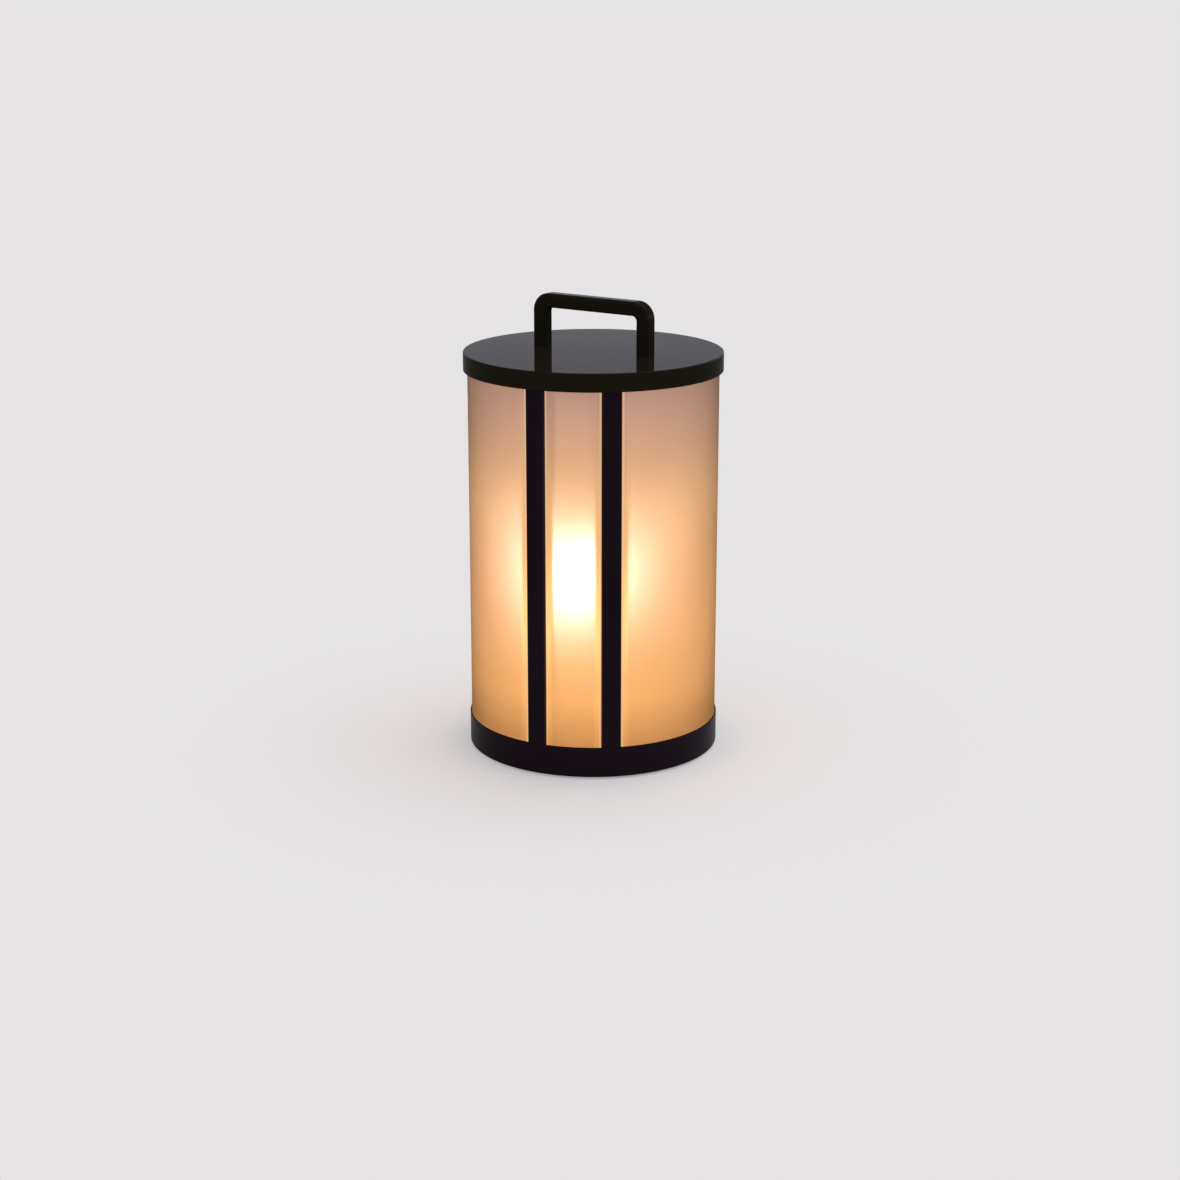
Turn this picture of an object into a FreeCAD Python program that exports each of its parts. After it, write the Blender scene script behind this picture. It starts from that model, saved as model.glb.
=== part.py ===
"""Lantern table lamp: a cordless lamp with frosted panes, a twist-lock lid and a carrying handle.

Millimetres, +Z up, origin on the floor under the middle of the lamp. The front, with one pair of
posts, faces -Y. The rear pair of posts, the power button and the charging port face +Y.
Every driving size is one named cell of the sheet; heights and reaches are worked out from those.
"""
import FreeCAD, Part
import math
import os

import Sketcher
from FreeCAD import Rotation, Vector

SIZES = {
    # The base: a bowl with its deck uppermost, closed by a plate on four feet.
    "base_radius": "98",
    "base_wall": "2.5",
    "edge_round": "0.6",
    "deck_thickness": "2",
    "rim_thickness": "5.6",
    "rim_margin": "1.2",
    "foot_proud": "1.5",
    "foot_radius": "8",
    "foot_thickness": "2",
    "foot_edge": "21.5",
    "plate_thickness": "1.5",
    "plate_play": "0.3",
    "boss_radius": "4.5",
    "boss_overlap": "0.5",
    "base_screw_length": "9",
    # The glazed cage.
    "post_length": "278.1",
    "post_width": "14",
    "post_angle": "17.3",
    "flange_width": "24",
    "flange_thickness": "2.5",
    "flange_gap": "0.3",
    "glass_inset": "1.2",
    "glass_thickness": "4",
    "glass_chamfer": "0.8",
    "pane_gap": "0.4",
    "pocket_depth": "2",
    "pocket_play": "0.3",
    "strip_thickness": "0.5",
    "ring_thickness": "5",
    # The twist-lock lid.
    "lid_play": "0.5",
    "lid_wall": "1.5",
    "lid_band": "14",
    "lid_thickness": "2.5",
    "lid_edge_round": "0.8",
    "lid_turn": "30",
    "seal_thickness": "2.2",
    "seal_gap": "0.3",
    "seal_inset": "0.3",
    "seal_margin": "0.35",
    "lock_play": "0.5",
    "lock_wall": "2",
    "lock_flange_width": "11",
    "lock_flange_thickness": "2",
    "lug_reach": "4.5",
    "lug_thickness": "2.5",
    "lug_drop": "0.5",
    "lug_sweep": "20",
    "lug_end_play": "0.6",
    "stop_sweep": "4",
    "stud_length": "6",
    "nut_circumradius": "3.2",
    "nut_height": "2.4",
    # The carrying handle.
    "handle_span": "94",
    "handle_bar": "11",
    "handle_height": "40.9",
    "handle_bend": "13.5",
    "handle_inner_bend": "4",
    "handle_round": "2",
    "handle_turn": "-24.4",
    "handle_screw_radius": "2.5",
    "handle_screw_length": "14",
    "handle_head_radius": "4.5",
    "handle_head_height": "3",
    "washer_radius": "5.5",
    "washer_thickness": "1",
    # Small machine screws, and the play round them.
    "screw_radius": "1.5",
    "head_radius": "2.75",
    "head_height": "1.9",
    "head_play": "0.35",
    "drive_share": "0.5",
    "thread_play": "0.05",
    "screw_play": "0.2",
    "post_screw_grip": "8",
    "tip_room": "2",
    # The column, the lampholder and the bulb.
    "column_radius": "8",
    "column_wall": "1.5",
    "column_height": "24.9",
    "column_flange_radius": "22",
    "column_flange_thickness": "3",
    "column_screw_length": "7",
    "wire_hole_radius": "3.5",
    "holder_wall": "5",
    "holder_floor": "4",
    "holder_play": "0.8",
    "spigot_length": "10",
    "spigot_play": "0.05",
    "contact_radius": "5",
    "contact_thickness": "2",
    "cap_radius": "13.2",
    "cap_height": "24",
    "cap_tip_height": "1.5",
    "cap_cone_height": "2.5",
    "neck_height": "28.5",
    "globe_radius": "29",
    "globe_wall": "1.5",
    "globe_cut": "18.5",
    "led_board_play": "2.3",
    "led_board_thickness": "1.6",
    "led_size": "3",
    "led_height": "0.8",
    "led_inset": "6",
    # The cells, which set the height of the base.
    "cell_radius": "9.2",
    "cell_length": "65",
    "cell_lift": "0.8",
    "cell_headroom": "0.9",
    "cell_gap": "0.6",
    "cell_reach": "17.8",
    "cradle_play": "0.1",
    "cradle_height": "6",
    "cradle_margin": "2",
    # The driver board and what is soldered to it.
    "board_width": "44",
    "board_length": "42",
    "board_thickness": "1.6",
    "pillar_height": "6",
    "pillar_radius": "3",
    "pillar_inset": "4",
    "board_screw_radius": "1.25",
    "board_screw_length": "5",
    "board_head_radius": "2.4",
    "coil_size": "9",
    "coil_height": "4.5",
    "chip_size": "5",
    "chip_height": "1.2",
    "chip_row": "13",
    "capacitor_radius": "3",
    "capacitor_height": "7",
    "capacitor_row": "26",
    "plug_width": "6",
    "plug_depth": "5",
    "plug_height": "5",
    "battery_plug_side": "10",
    "switch_plug_row": "14",
    # The internal wires.
    "wire_radius": "0.7",
    "wire_bend": "12",
    "wire_pitch": "2.8",
    "wire_straight": "6",
    "battery_wire_side": "26",
    # The charging port and its flap.
    "socket_width": "8.9",
    "socket_height": "3.2",
    "socket_depth": "7.6",
    "socket_wall": "0.4",
    "socket_setback": "2.4",
    "port_play": "1",
    "port_backing": "3.5",
    "port_backing_width": "24",
    "port_backing_height": "16",
    "flap_width": "17",
    "flap_thickness": "1.8",
    "flap_top": "5",
    "flap_inset": "0.1",
    "flap_play": "0.3",
    "knuckle_radius": "1.3",
    "knuckle_length": "10",
    "hinge_drop": "3.7",
    "hinge_setback": "1.4",
    "flap_pin_radius": "0.6",
    "flap_pin_grip": "3",
    "pin_play": "0.05",
    "nail_notch_width": "6",
    "nail_notch_height": "1.5",
    "nail_notch_depth": "1.2",
    # The power button and its switch.
    "button_angle": "28",
    "button_radius": "5",
    "button_proud": "0.8",
    "button_length": "4",
    "button_round": "0.7",
    "button_play": "0.3",
    "button_travel": "1",
    "collar_lip": "1",
    "collar_thickness": "1.5",
    "stem_radius": "1.7",
    "stem_length": "5.4",
    "plunger_play": "0.1",
    "plunger_length": "3.4",
    "press_room": "0.05",
    "switch_size": "6.2",
    "switch_floor": "0.6",
    "switch_board_width": "14",
    "switch_board_height": "17",
    "switch_board_thickness": "1.2",
    "tab_thickness": "1.5",
    "tab_height": "15",
}

# Angles in degrees about +Z from +X, at which the repeated pieces stand.
FRONT, REAR, RIGHT, LEFT = "-90", "90", "0", "180"
CORNERS = ("45", "135", "225", "315")
SQUARE = ("0", "90", "180", "270")
THIRDS = ("0", "120", "240")

# Heights above the floor, from the base up.
PLATE_TOP = "(sizes.foot_proud + sizes.plate_thickness)"
CELL_AXIS = f"({PLATE_TOP} + sizes.cell_lift + sizes.cell_radius)"
DECK_UNDER = f"({CELL_AXIS} + sizes.cell_radius + sizes.cell_headroom)"
DECK_TOP = f"({DECK_UNDER} + sizes.deck_thickness)"
RIM_UNDER = f"({DECK_TOP} - sizes.rim_thickness)"
POCKET_FLOOR = f"({DECK_TOP} - sizes.pocket_depth)"
PANE_BOTTOM = f"({POCKET_FLOOR} + sizes.strip_thickness)"
CAGE_TOP = f"({DECK_TOP} + sizes.post_length)"
POCKET_ROOF = f"({CAGE_TOP} + sizes.pocket_depth)"
PANE_TOP = f"({POCKET_ROOF} - sizes.strip_thickness)"
RING_TOP = f"({CAGE_TOP} + sizes.ring_thickness)"
SEAL_TOP = f"({RING_TOP} + sizes.seal_thickness)"
LID_UNDER = f"({SEAL_TOP} + sizes.seal_gap)"
LID_TOP = f"({LID_UNDER} + sizes.lid_thickness)"
SKIRT_BOTTOM = f"({LID_TOP} - sizes.lid_band)"
LUG_TOP = f"({CAGE_TOP} - sizes.lug_drop)"
LUG_BOTTOM = f"({LUG_TOP} - sizes.lug_thickness)"
LOCK_UNDER = f"({LID_UNDER} - sizes.lock_flange_thickness)"
COLUMN_TOP = f"({DECK_TOP} + sizes.column_height)"
HOLDER_FLOOR = f"({COLUMN_TOP} + sizes.holder_floor)"
CAP_BOTTOM = f"({HOLDER_FLOOR} + sizes.contact_thickness)"
CAP_TOP = f"({CAP_BOTTOM} + sizes.cap_height)"
GLOBE_CUT = f"({CAP_TOP} + sizes.neck_height)"
BOARD_UNDER = f"({PLATE_TOP} + sizes.pillar_height)"
BOARD_TOP = f"({BOARD_UNDER} + sizes.board_thickness)"
PORT_AXIS = f"({BOARD_TOP} + sizes.socket_height / 2)"
FLAP_TOP = f"({PORT_AXIS} + sizes.flap_top)"
HINGE_AXIS = f"({PORT_AXIS} - sizes.hinge_drop)"
BUTTON_AXIS = f"(({PLATE_TOP} + {RIM_UNDER}) / 2)"

# Distances from the lamp's axis: base, panes and posts.
SKIRT_INNER = "(sizes.base_radius - sizes.base_wall)"
GLASS_OUTER = "(sizes.base_radius - sizes.glass_inset)"
GLASS_INNER = f"({GLASS_OUTER} - sizes.glass_thickness)"
POCKET_INNER = f"({GLASS_INNER} - sizes.pocket_play)"
POCKET_OUTER = f"({GLASS_OUTER} + sizes.pocket_play)"
FLANGE_OUTER = f"(sqrt({GLASS_INNER} ^ 2 - (sizes.flange_width / 2) ^ 2) - sizes.flange_gap)"
FLANGE_INNER = f"({FLANGE_OUTER} - sizes.flange_thickness)"
POST_FACE = "sqrt(sizes.base_radius ^ 2 - (sizes.post_width / 2) ^ 2)"
POST_SCREWS = f"({SKIRT_INNER} - sizes.head_radius - sizes.head_play)"
RIM_INNER = f"({FLANGE_INNER} - sizes.rim_margin)"
BOSS_CIRCLE = f"({RIM_INNER} - sizes.boss_radius + sizes.boss_overlap)"
FOOT_CIRCLE = f"({SKIRT_INNER} - sizes.foot_edge)"

# Distances from the lamp's axis: the lid and its lock.
LID_INNER = "(sizes.base_radius + sizes.lid_play)"
LID_OUTER = f"({LID_INNER} + sizes.lid_wall)"
SEAL_INNER = f"({POST_SCREWS} + sizes.head_radius + sizes.seal_margin)"
SEAL_OUTER = "(sizes.base_radius - sizes.seal_inset)"
LUG_OUTER = f"({FLANGE_INNER} - sizes.rim_margin)"
RING_INNER = f"({LUG_OUTER} - sizes.lug_reach)"
LOCK_OUTER = f"({RING_INNER} - sizes.lock_play)"
LOCK_INNER = f"({LOCK_OUTER} - sizes.lock_wall)"
LOCK_FLANGE = f"({LOCK_INNER} - sizes.lock_flange_width)"
STUD_CIRCLE = f"(({LOCK_INNER} + {LOCK_FLANGE}) / 2)"

# Distances from the lamp's axis: the column, the holder and the bulb.
COLUMN_BORE = "(sizes.column_radius - sizes.column_wall)"
COLUMN_SCREWS = "((sizes.column_radius + sizes.column_flange_radius) / 2)"
HOLDER_BORE = "(sizes.cap_radius + sizes.holder_play)"
HOLDER_OUTER = f"({HOLDER_BORE} + sizes.holder_wall)"
GLOBE_BORE = "(sizes.globe_radius - sizes.globe_wall)"
NECK_TOP = "sqrt(sizes.globe_radius ^ 2 - sizes.globe_cut ^ 2)"
LED_BOARD = f"(sqrt({GLOBE_BORE} ^ 2 - sizes.globe_cut ^ 2) - sizes.led_board_play)"
LED_CIRCLE = f"({LED_BOARD} - sizes.led_inset)"

# Distances behind the lamp's axis, at the port and at the button before it is turned to its place.
BOARD_FAR = f"({SKIRT_INNER} - sizes.port_backing)"
BOARD_NEAR = f"({BOARD_FAR} - sizes.board_length)"
SOCKET_MOUTH = "(sizes.base_radius - sizes.socket_setback)"
FLAP_OUTER = "(sizes.base_radius - sizes.flap_inset)"
FLAP_INNER = f"({FLAP_OUTER} - sizes.flap_thickness)"
HINGE_REACH = "(sizes.base_radius - sizes.hinge_setback)"
BUTTON_FACE = "(sizes.base_radius + sizes.button_proud)"
BUTTON_BACK = f"({BUTTON_FACE} - sizes.button_length)"
COLLAR_RADIUS = "(sizes.button_radius + sizes.button_play + sizes.collar_lip)"
COLLAR_FACE = f"(sqrt({SKIRT_INNER} ^ 2 - {COLLAR_RADIUS} ^ 2) - sizes.button_play)"
COLLAR_BACK = f"({COLLAR_FACE} - sizes.collar_thickness)"
STEM_END = f"({COLLAR_BACK} - sizes.stem_length)"
PLUNGER_END = f"({STEM_END} - sizes.plunger_length)"
SWITCH_FACE = f"({STEM_END} - sizes.button_travel - sizes.press_room)"
WELL_END = f"({PLUNGER_END} - sizes.button_travel - sizes.plunger_play)"
SWITCH_BACK = f"({WELL_END} - sizes.switch_floor)"
CARD_BACK = f"({SWITCH_BACK} - sizes.switch_board_thickness)"

# Angles that the panes and their pockets take up between the posts.
POST_MARGIN = f"(asin((sizes.post_width / 2 + sizes.pane_gap) / {GLASS_INNER}) / 1 deg)"
NARROW_SWEEP = f"(2 * (sizes.post_angle - {POST_MARGIN}))"
WIDE_SWEEP = f"(180 - 2 * (sizes.post_angle + {POST_MARGIN}))"
POCKET_EXTRA = f"(2 * atan(sizes.pocket_play / {GLASS_INNER}) / 1 deg)"
HALF_NOTCH = "(sizes.lug_sweep / 2 + sizes.lug_end_play)"

# Radii of the holes that screws bite in, and that they pass through.
THREAD = "(sizes.screw_radius + sizes.thread_play)"
CLEARANCE = "(sizes.screw_radius + sizes.screw_play)"
HANDLE_CLEARANCE = "(sizes.handle_screw_radius + sizes.screw_play)"

PANES = {
    "front_pane": (FRONT, NARROW_SWEEP),
    "rear_pane": (REAR, NARROW_SWEEP),
    "right_pane": (RIGHT, WIDE_SWEEP),
    "left_pane": (LEFT, WIDE_SWEEP),
}
POSTS = {
    "front_left_post": "(-90 - sizes.post_angle)",
    "front_right_post": "(-90 + sizes.post_angle)",
    "rear_right_post": "(90 - sizes.post_angle)",
    "rear_left_post": "(90 + sizes.post_angle)",
}
LED_COUNT = 8
CELL_COUNT = 3
# The most of a straight run that one bend of a wire may take.
BEND_SHARE = 0.45

ALONG_X = Rotation(Vector(0, 1, 0), 90)
ALONG_Y = Rotation(Vector(1, 0, 0), -90)
UPSIDE_DOWN = Rotation(Vector(1, 0, 0), 180)
UPRIGHT = Vector(0, 0, 1)
TINY = 1e-6

doc = FreeCAD.newDocument("lantern_table_lamp")
sheet = doc.addObject("Spreadsheet::Sheet", "sizes")
nodes = []


def fill_sheet():
    """Write each driving size beside its name, and give its cell that name."""
    for row, (alias, text) in enumerate(SIZES.items(), start=1):
        sheet.set(f"A{row}", alias)
        sheet.set(f"B{row}", text)
        sheet.setAlias(f"B{row}", alias)
    doc.recompute()


def number(expression):
    """The present value of an expression over the sheet."""
    value = sheet.evalExpression(expression)
    return float(getattr(value, "Value", value))


# Solids bound to the sheet.


def bind(item, **sizes):
    """Tie properties of an object to expressions over the sheet."""
    for name, expression in sizes.items():
        item.setExpression(name, expression)
    return item


def move(item, x="0", y="0", z="0", turn=None, rotation=None):
    """Place an object, turned about +Z by an expression or by a fixed rotation."""
    if rotation is not None:
        item.Placement = FreeCAD.Placement(Vector(), rotation)
    for axis, expression in (("x", x), ("y", y), ("z", z)):
        if expression != "0":
            item.setExpression(f"Placement.Base.{axis}", expression)
    if turn is not None:
        item.setExpression("Placement.Rotation.Angle", turn)
    return item


def around(radius, angle):
    """The x and y expressions of a point at a radius and an angle from +X."""
    return f"{radius} * cos({angle})", f"{radius} * sin({angle})"


def rod(name, radius, low, high, x="0", y="0"):
    """An upright cylinder from one height to another."""
    item = bind(doc.addObject("Part::Cylinder", name), Radius=radius, Height=f"{high} - {low}")
    return move(item, x, y, low)


def peg(name, radius, near, far, z):
    """A cylinder lying along +Y over the Y axis."""
    item = bind(doc.addObject("Part::Cylinder", name), Radius=radius, Height=f"{far} - {near}")
    return move(item, "0", near, z, rotation=ALONG_Y)


def roller(name, radius, length, y, z):
    """A cylinder lying along X, centred on the YZ plane."""
    item = bind(doc.addObject("Part::Cylinder", name), Radius=radius, Height=length)
    return move(item, f"-({length}) / 2", y, z, rotation=ALONG_X)


def block(name, x, y, z):
    """A box between a low and a high expression on each axis."""
    item = doc.addObject("Part::Box", name)
    for side, (low, high) in zip(("Length", "Width", "Height"), (x, y, z)):
        item.setExpression(side, f"{high} - ({low})")
    return move(item, x[0], y[0], z[0])


def astride(width, middle="0"):
    """The low and high expressions of a width centred on a middle."""
    return f"({middle} - {width} / 2)", f"({middle} + {width} / 2)"


def cone(name, low_radius, high_radius, low, high, x="0", y="0"):
    """An upright cone or taper."""
    item = doc.addObject("Part::Cone", name)
    bind(item, Radius1=low_radius, Radius2=high_radius, Height=f"{high} - {low}")
    return move(item, x, y, low)


def hexagon(name, circumradius, low, high, x="0", y="0"):
    """An upright six-sided prism."""
    item = doc.addObject("Part::Prism", name)
    item.Polygon = 6
    bind(item, Circumradius=circumradius, Height=f"{high} - {low}")
    return move(item, x, y, low)


def fuse(name, pieces):
    """One solid made of pieces that touch or overlap."""
    item = doc.addObject("Part::MultiFuse", name)
    item.Shapes = pieces
    return item


def common(name, pieces):
    """What all the pieces share."""
    item = doc.addObject("Part::MultiCommon", name)
    item.Shapes = pieces
    return item


def cut(name, base, tools):
    """The base with the tools taken away."""
    item = doc.addObject("Part::Cut", name)
    item.Base = base
    item.Tool = tools[0] if len(tools) == 1 else fuse(f"{name}_tools", tools)
    return item


def group(name, pieces):
    """Separate solids that share one node."""
    item = doc.addObject("Part::Compound", name)
    item.Links = pieces
    return item


def swing(name, piece, turn):
    """A piece turned about the lamp's axis from where it was placed."""
    return move(group(name, [piece]), turn=turn)


def tube(name, inner, outer, low, high):
    """An upright ring with a rectangular section."""
    hollow = rod(f"{name}_bore", inner, low, high)
    return cut(name, rod(f"{name}_blank", outer, low, high), [hollow])


def sector(name, inner, outer, low, high, middle, sweep):
    """A stretch of such a ring, centred on an angle."""
    blank = rod(f"{name}_blank", outer, low, high)
    bind(blank, Angle=sweep)
    move(blank, z=low, turn=f"{middle} - ({sweep}) / 2")
    return cut(name, blank, [rod(f"{name}_bore", inner, low, high)])


# Bodies with sketches.


def outline(body, name, role, corners):
    """A closed sketch on one of a body's origin planes, each corner tied to a pair of expressions."""
    sketch = body.newObject("Sketcher::SketchObject", name)
    plane = next(feature for feature in body.Origin.OriginFeatures if feature.Role == role)
    sketch.AttachmentSupport = (plane, [""])
    sketch.MapMode = "FlatFace"
    points = [Vector(number(across), number(up), 0) for across, up in corners]
    count = len(points)
    for index, point in enumerate(points):
        sketch.addGeometry(Part.LineSegment(point, points[(index + 1) % count]), False)
    for index in range(count):
        sketch.addConstraint(Sketcher.Constraint("Coincident", index, 2, (index + 1) % count, 1))
    for index, (point, corner) in enumerate(zip(points, corners)):
        for kind, value, expression in zip(("DistanceX", "DistanceY"), (point.x, point.y), corner):
            ends = (-1, 1, index, 1) if value >= 0 else (index, 1, -1, 1)
            signed = expression if value >= 0 else f"-({expression})"
            place = sketch.addConstraint(Sketcher.Constraint(kind, *ends, abs(value)))
            sketch.setExpression(f"Constraints[{place}]", signed)
    return sketch


def turned(name, corners, sweep=None):
    """A body of revolution about the lamp's axis, whole or centred on +X over a sweep."""
    body = doc.addObject("PartDesign::Body", name)
    profile = outline(body, f"{name}_profile", "XZ_Plane", corners)
    spin = body.newObject("PartDesign::Revolution", f"{name}_spin")
    spin.Profile = profile
    spin.ReferenceAxis = (profile, ["V_Axis"])
    spin.Angle = 360
    if sweep is not None:
        spin.Midplane = True
        spin.setExpression("Angle", sweep)
    doc.recompute()
    return body


def extruded(name, role, corners, length, centred=False):
    """A body padded from an outline, up from its plane or to both sides of it."""
    body = doc.addObject("PartDesign::Body", name)
    profile = outline(body, f"{name}_profile", role, corners)
    pad = body.newObject("PartDesign::Pad", f"{name}_pad")
    pad.Profile = profile
    pad.Midplane = centred
    pad.setExpression("Length", length)
    doc.recompute()
    return body


def soften(body, kind, size, chosen):
    """Round or chamfer the edges of a body's last feature that a test chooses."""
    base = body.Tip
    edges = [f"Edge{place}" for place, edge in enumerate(base.Shape.Edges, start=1) if chosen(edge)]
    feature = body.newObject(f"PartDesign::{kind}", f"{body.Name}_{kind.lower()}_{len(body.Group)}")
    feature.Base = (base, edges)
    feature.setExpression("Radius" if kind == "Fillet" else "Size", size)
    body.Tip = feature
    doc.recompute()
    return body


def is_rim(edge, radius):
    """Whether an edge is a level circle of a radius."""
    return isinstance(edge.Curve, Part.Circle) and abs(edge.Curve.Radius - radius) < TINY


def runs_along(edge, axis):
    """Whether an edge is straight and parallel to an axis."""
    return isinstance(edge.Curve, Part.Line) and edge.Curve.Direction.cross(axis).Length < TINY


def node(item, label):
    """Name a finished sub-part and keep it for the export."""
    item.Label = label
    nodes.append(item)
    return item


# Fasteners.


def screw(name, radius, length, head_radius, head_height):
    """A pan-head screw with a hexagon socket, its shank up from z = 0 and its head below."""
    head = rod(f"{name}_head", head_radius, f"(-{head_height})", "0")
    shank = rod(f"{name}_shank", radius, f"(-{head_height} / 2)", length)
    drive_top = f"(-{head_height} * sizes.drive_share)"
    drive = hexagon(f"{name}_drive", f"{head_radius} * sizes.drive_share", f"(-{head_height})", drive_top)
    return cut(name, fuse(f"{name}_solid", [head, shank]), [drive])


def small_screw(name, length, x, y, z, rotation=None):
    """One of the lamp's small machine screws, with its head's seat at a point."""
    item = screw(name, "sizes.screw_radius", length, "sizes.head_radius", "sizes.head_height")
    return move(item, x, y, z, rotation=rotation)


def flush_screw(name, length, x, y):
    """A countersunk screw driven up from the underside of the base plate."""
    head = cone(f"{name}_head", "2 * sizes.screw_radius", "sizes.screw_radius", "0", "sizes.plate_thickness")
    shank = rod(f"{name}_shank", "sizes.screw_radius", "0", length)
    drive_top = "sizes.plate_thickness * sizes.drive_share"
    drive = hexagon(f"{name}_drive", "sizes.screw_radius", "0", drive_top)
    return move(cut(name, fuse(f"{name}_solid", [head, shank]), [drive]), x, y, "sizes.foot_proud")


def rods_round(name, radius, low, high, circle, angles):
    """Upright cylinders on a circle, one at each angle."""
    return [
        rod(f"{name}_{place}", radius, low, high, *around(circle, angle))
        for place, angle in enumerate(angles)
    ]


# The base.


def build_base_shell():
    """The painted bowl of the base, upside down: skirt, deck, glazing pockets and screw bosses."""
    bore = "sizes.wire_hole_radius"
    body = turned("base_turning", [
        (bore, DECK_UNDER), (RIM_INNER, DECK_UNDER), (RIM_INNER, RIM_UNDER), (SKIRT_INNER, RIM_UNDER),
        (SKIRT_INNER, "sizes.foot_proud"), ("sizes.base_radius", "sizes.foot_proud"),
        ("sizes.base_radius", DECK_TOP), (bore, DECK_TOP),
    ])
    soften(body, "Fillet", "sizes.edge_round", lambda edge: is_rim(edge, number("sizes.base_radius")))
    boss_tip = f"({PLATE_TOP} + sizes.base_screw_length + sizes.tip_room)"
    bosses = rods_round("boss", "sizes.boss_radius", PLATE_TOP, DECK_UNDER, BOSS_CIRCLE, CORNERS)
    cuts = [
        *pane_pockets("lower", POCKET_FLOOR, DECK_TOP),
        *rods_round("boss_hole", THREAD, PLATE_TOP, boss_tip, BOSS_CIRCLE, CORNERS),
        *rods_round("base_post_hole", CLEARANCE, RIM_UNDER, DECK_TOP, POST_SCREWS, POSTS.values()),
        *rods_round("column_hole", THREAD, DECK_UNDER, DECK_TOP, COLUMN_SCREWS, THIRDS),
        *build_port_cuts(),
        build_button_hole(),
    ]
    node(cut("base_bowl", fuse("base_blank", [body, build_port_backing(), *bosses]), cuts), "base_shell")


def pane_pockets(name, low, high):
    """The four shallow pockets that the panes stand in, or reach up into."""
    return [
        sector(f"{name}_{pane}_pocket", POCKET_INNER, POCKET_OUTER, low, high,
               middle, f"{sweep} + {POCKET_EXTRA}")
        for pane, (middle, sweep) in PANES.items()
    ]


def build_port_backing():
    """The thicker patch of wall behind the charging port."""
    far = f"({SKIRT_INNER} + sizes.base_wall / 2)"
    return block("port_backing_patch", astride("sizes.port_backing_width"), (BOARD_FAR, far),
                 astride("sizes.port_backing_height", PORT_AXIS))


def build_port_cuts():
    """The slot for the plug, the recess for the flap and its knuckle, and a notch for a nail."""
    outside = "(sizes.base_radius + sizes.port_play)"
    flap_back = f"(sqrt({FLAP_INNER} ^ 2 - (sizes.flap_width / 2) ^ 2) - sizes.flap_play)"
    flap_high = f"({FLAP_TOP} + sizes.flap_play)"
    knuckle_room = "(sizes.knuckle_radius + sizes.flap_play)"
    ear_top = f"({HINGE_AXIS} + {knuckle_room})"
    knuckle_back = f"({HINGE_REACH} - {knuckle_room})"
    notch_back = "(sizes.base_radius - sizes.nail_notch_depth)"
    notch_high = f"({flap_high} + sizes.nail_notch_height)"
    return [
        block("port_slot", astride("(sizes.socket_width + 2 * sizes.port_play)"), (BOARD_FAR, outside),
              astride("(sizes.socket_height + 2 * sizes.port_play)", PORT_AXIS)),
        block("flap_recess", astride("(sizes.flap_width + 2 * sizes.flap_play)"), (flap_back, outside),
              (ear_top, flap_high)),
        block("knuckle_recess", astride("(sizes.knuckle_length + 2 * sizes.flap_play)"),
              (knuckle_back, outside), (f"({HINGE_AXIS} - {knuckle_room})", ear_top)),
        block("nail_notch", astride("sizes.nail_notch_width"), (notch_back, outside),
              (flap_high, notch_high)),
        roller("flap_pin_hole", "sizes.flap_pin_radius + sizes.pin_play",
               "(sizes.knuckle_length + 2 * sizes.flap_pin_grip + 2 * sizes.pin_play)",
               HINGE_REACH, HINGE_AXIS),
    ]


def build_button_hole():
    """The round hole that the button slides in."""
    inside = f"({COLLAR_FACE} - sizes.button_play)"
    bore = peg("button_bore", "sizes.button_radius + sizes.button_play", inside, BUTTON_FACE, BUTTON_AXIS)
    return swing("button_hole", bore, "sizes.button_angle")


def build_base_plate():
    """The steel underside: recesses for the feet, pillars for the board and a tab for the switch."""
    disc = rod("plate_disc", f"{SKIRT_INNER} - sizes.plate_play", "sizes.foot_proud", PLATE_TOP)
    tab = block("switch_tab_blank", astride("sizes.switch_board_width"),
                (f"({CARD_BACK} - sizes.tab_thickness)", CARD_BACK),
                ("sizes.foot_proud", f"({PLATE_TOP} + sizes.tab_height)"))
    solids = [disc, swing("switch_tab", tab, "sizes.button_angle")]
    cuts = rods_round("foot_recess", "sizes.foot_radius", "sizes.foot_proud", "sizes.foot_thickness",
                      FOOT_CIRCLE, SQUARE)
    pillar_bore = "sizes.board_screw_radius + sizes.thread_play"
    for place, (x, y) in enumerate(board_corners()):
        solids.append(rod(f"pillar_{place}", "sizes.pillar_radius", PLATE_TOP, BOARD_UNDER, x, y))
        cuts.append(rod(f"pillar_hole_{place}", pillar_bore, PLATE_TOP, BOARD_UNDER, x, y))
    sink = "(2 * sizes.screw_radius + sizes.thread_play)"
    for place, angle in enumerate(CORNERS):
        x, y = around(BOSS_CIRCLE, angle)
        cuts.append(cone(f"countersink_{place}", sink, THREAD, "sizes.foot_proud", PLATE_TOP, x, y))
    node(cut("plate", fuse("plate_blank", solids), cuts), "base_plate")


def board_corners():
    """Where the driver board's four pillars and screws stand."""
    across = "(sizes.board_width / 2 - sizes.pillar_inset)"
    near = f"({BOARD_NEAR} + sizes.pillar_inset)"
    far = f"({BOARD_FAR} - sizes.socket_depth - sizes.pillar_inset)"
    return [(f"({sign}{across})", y) for sign in ("-", "") for y in (near, far)]


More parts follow.
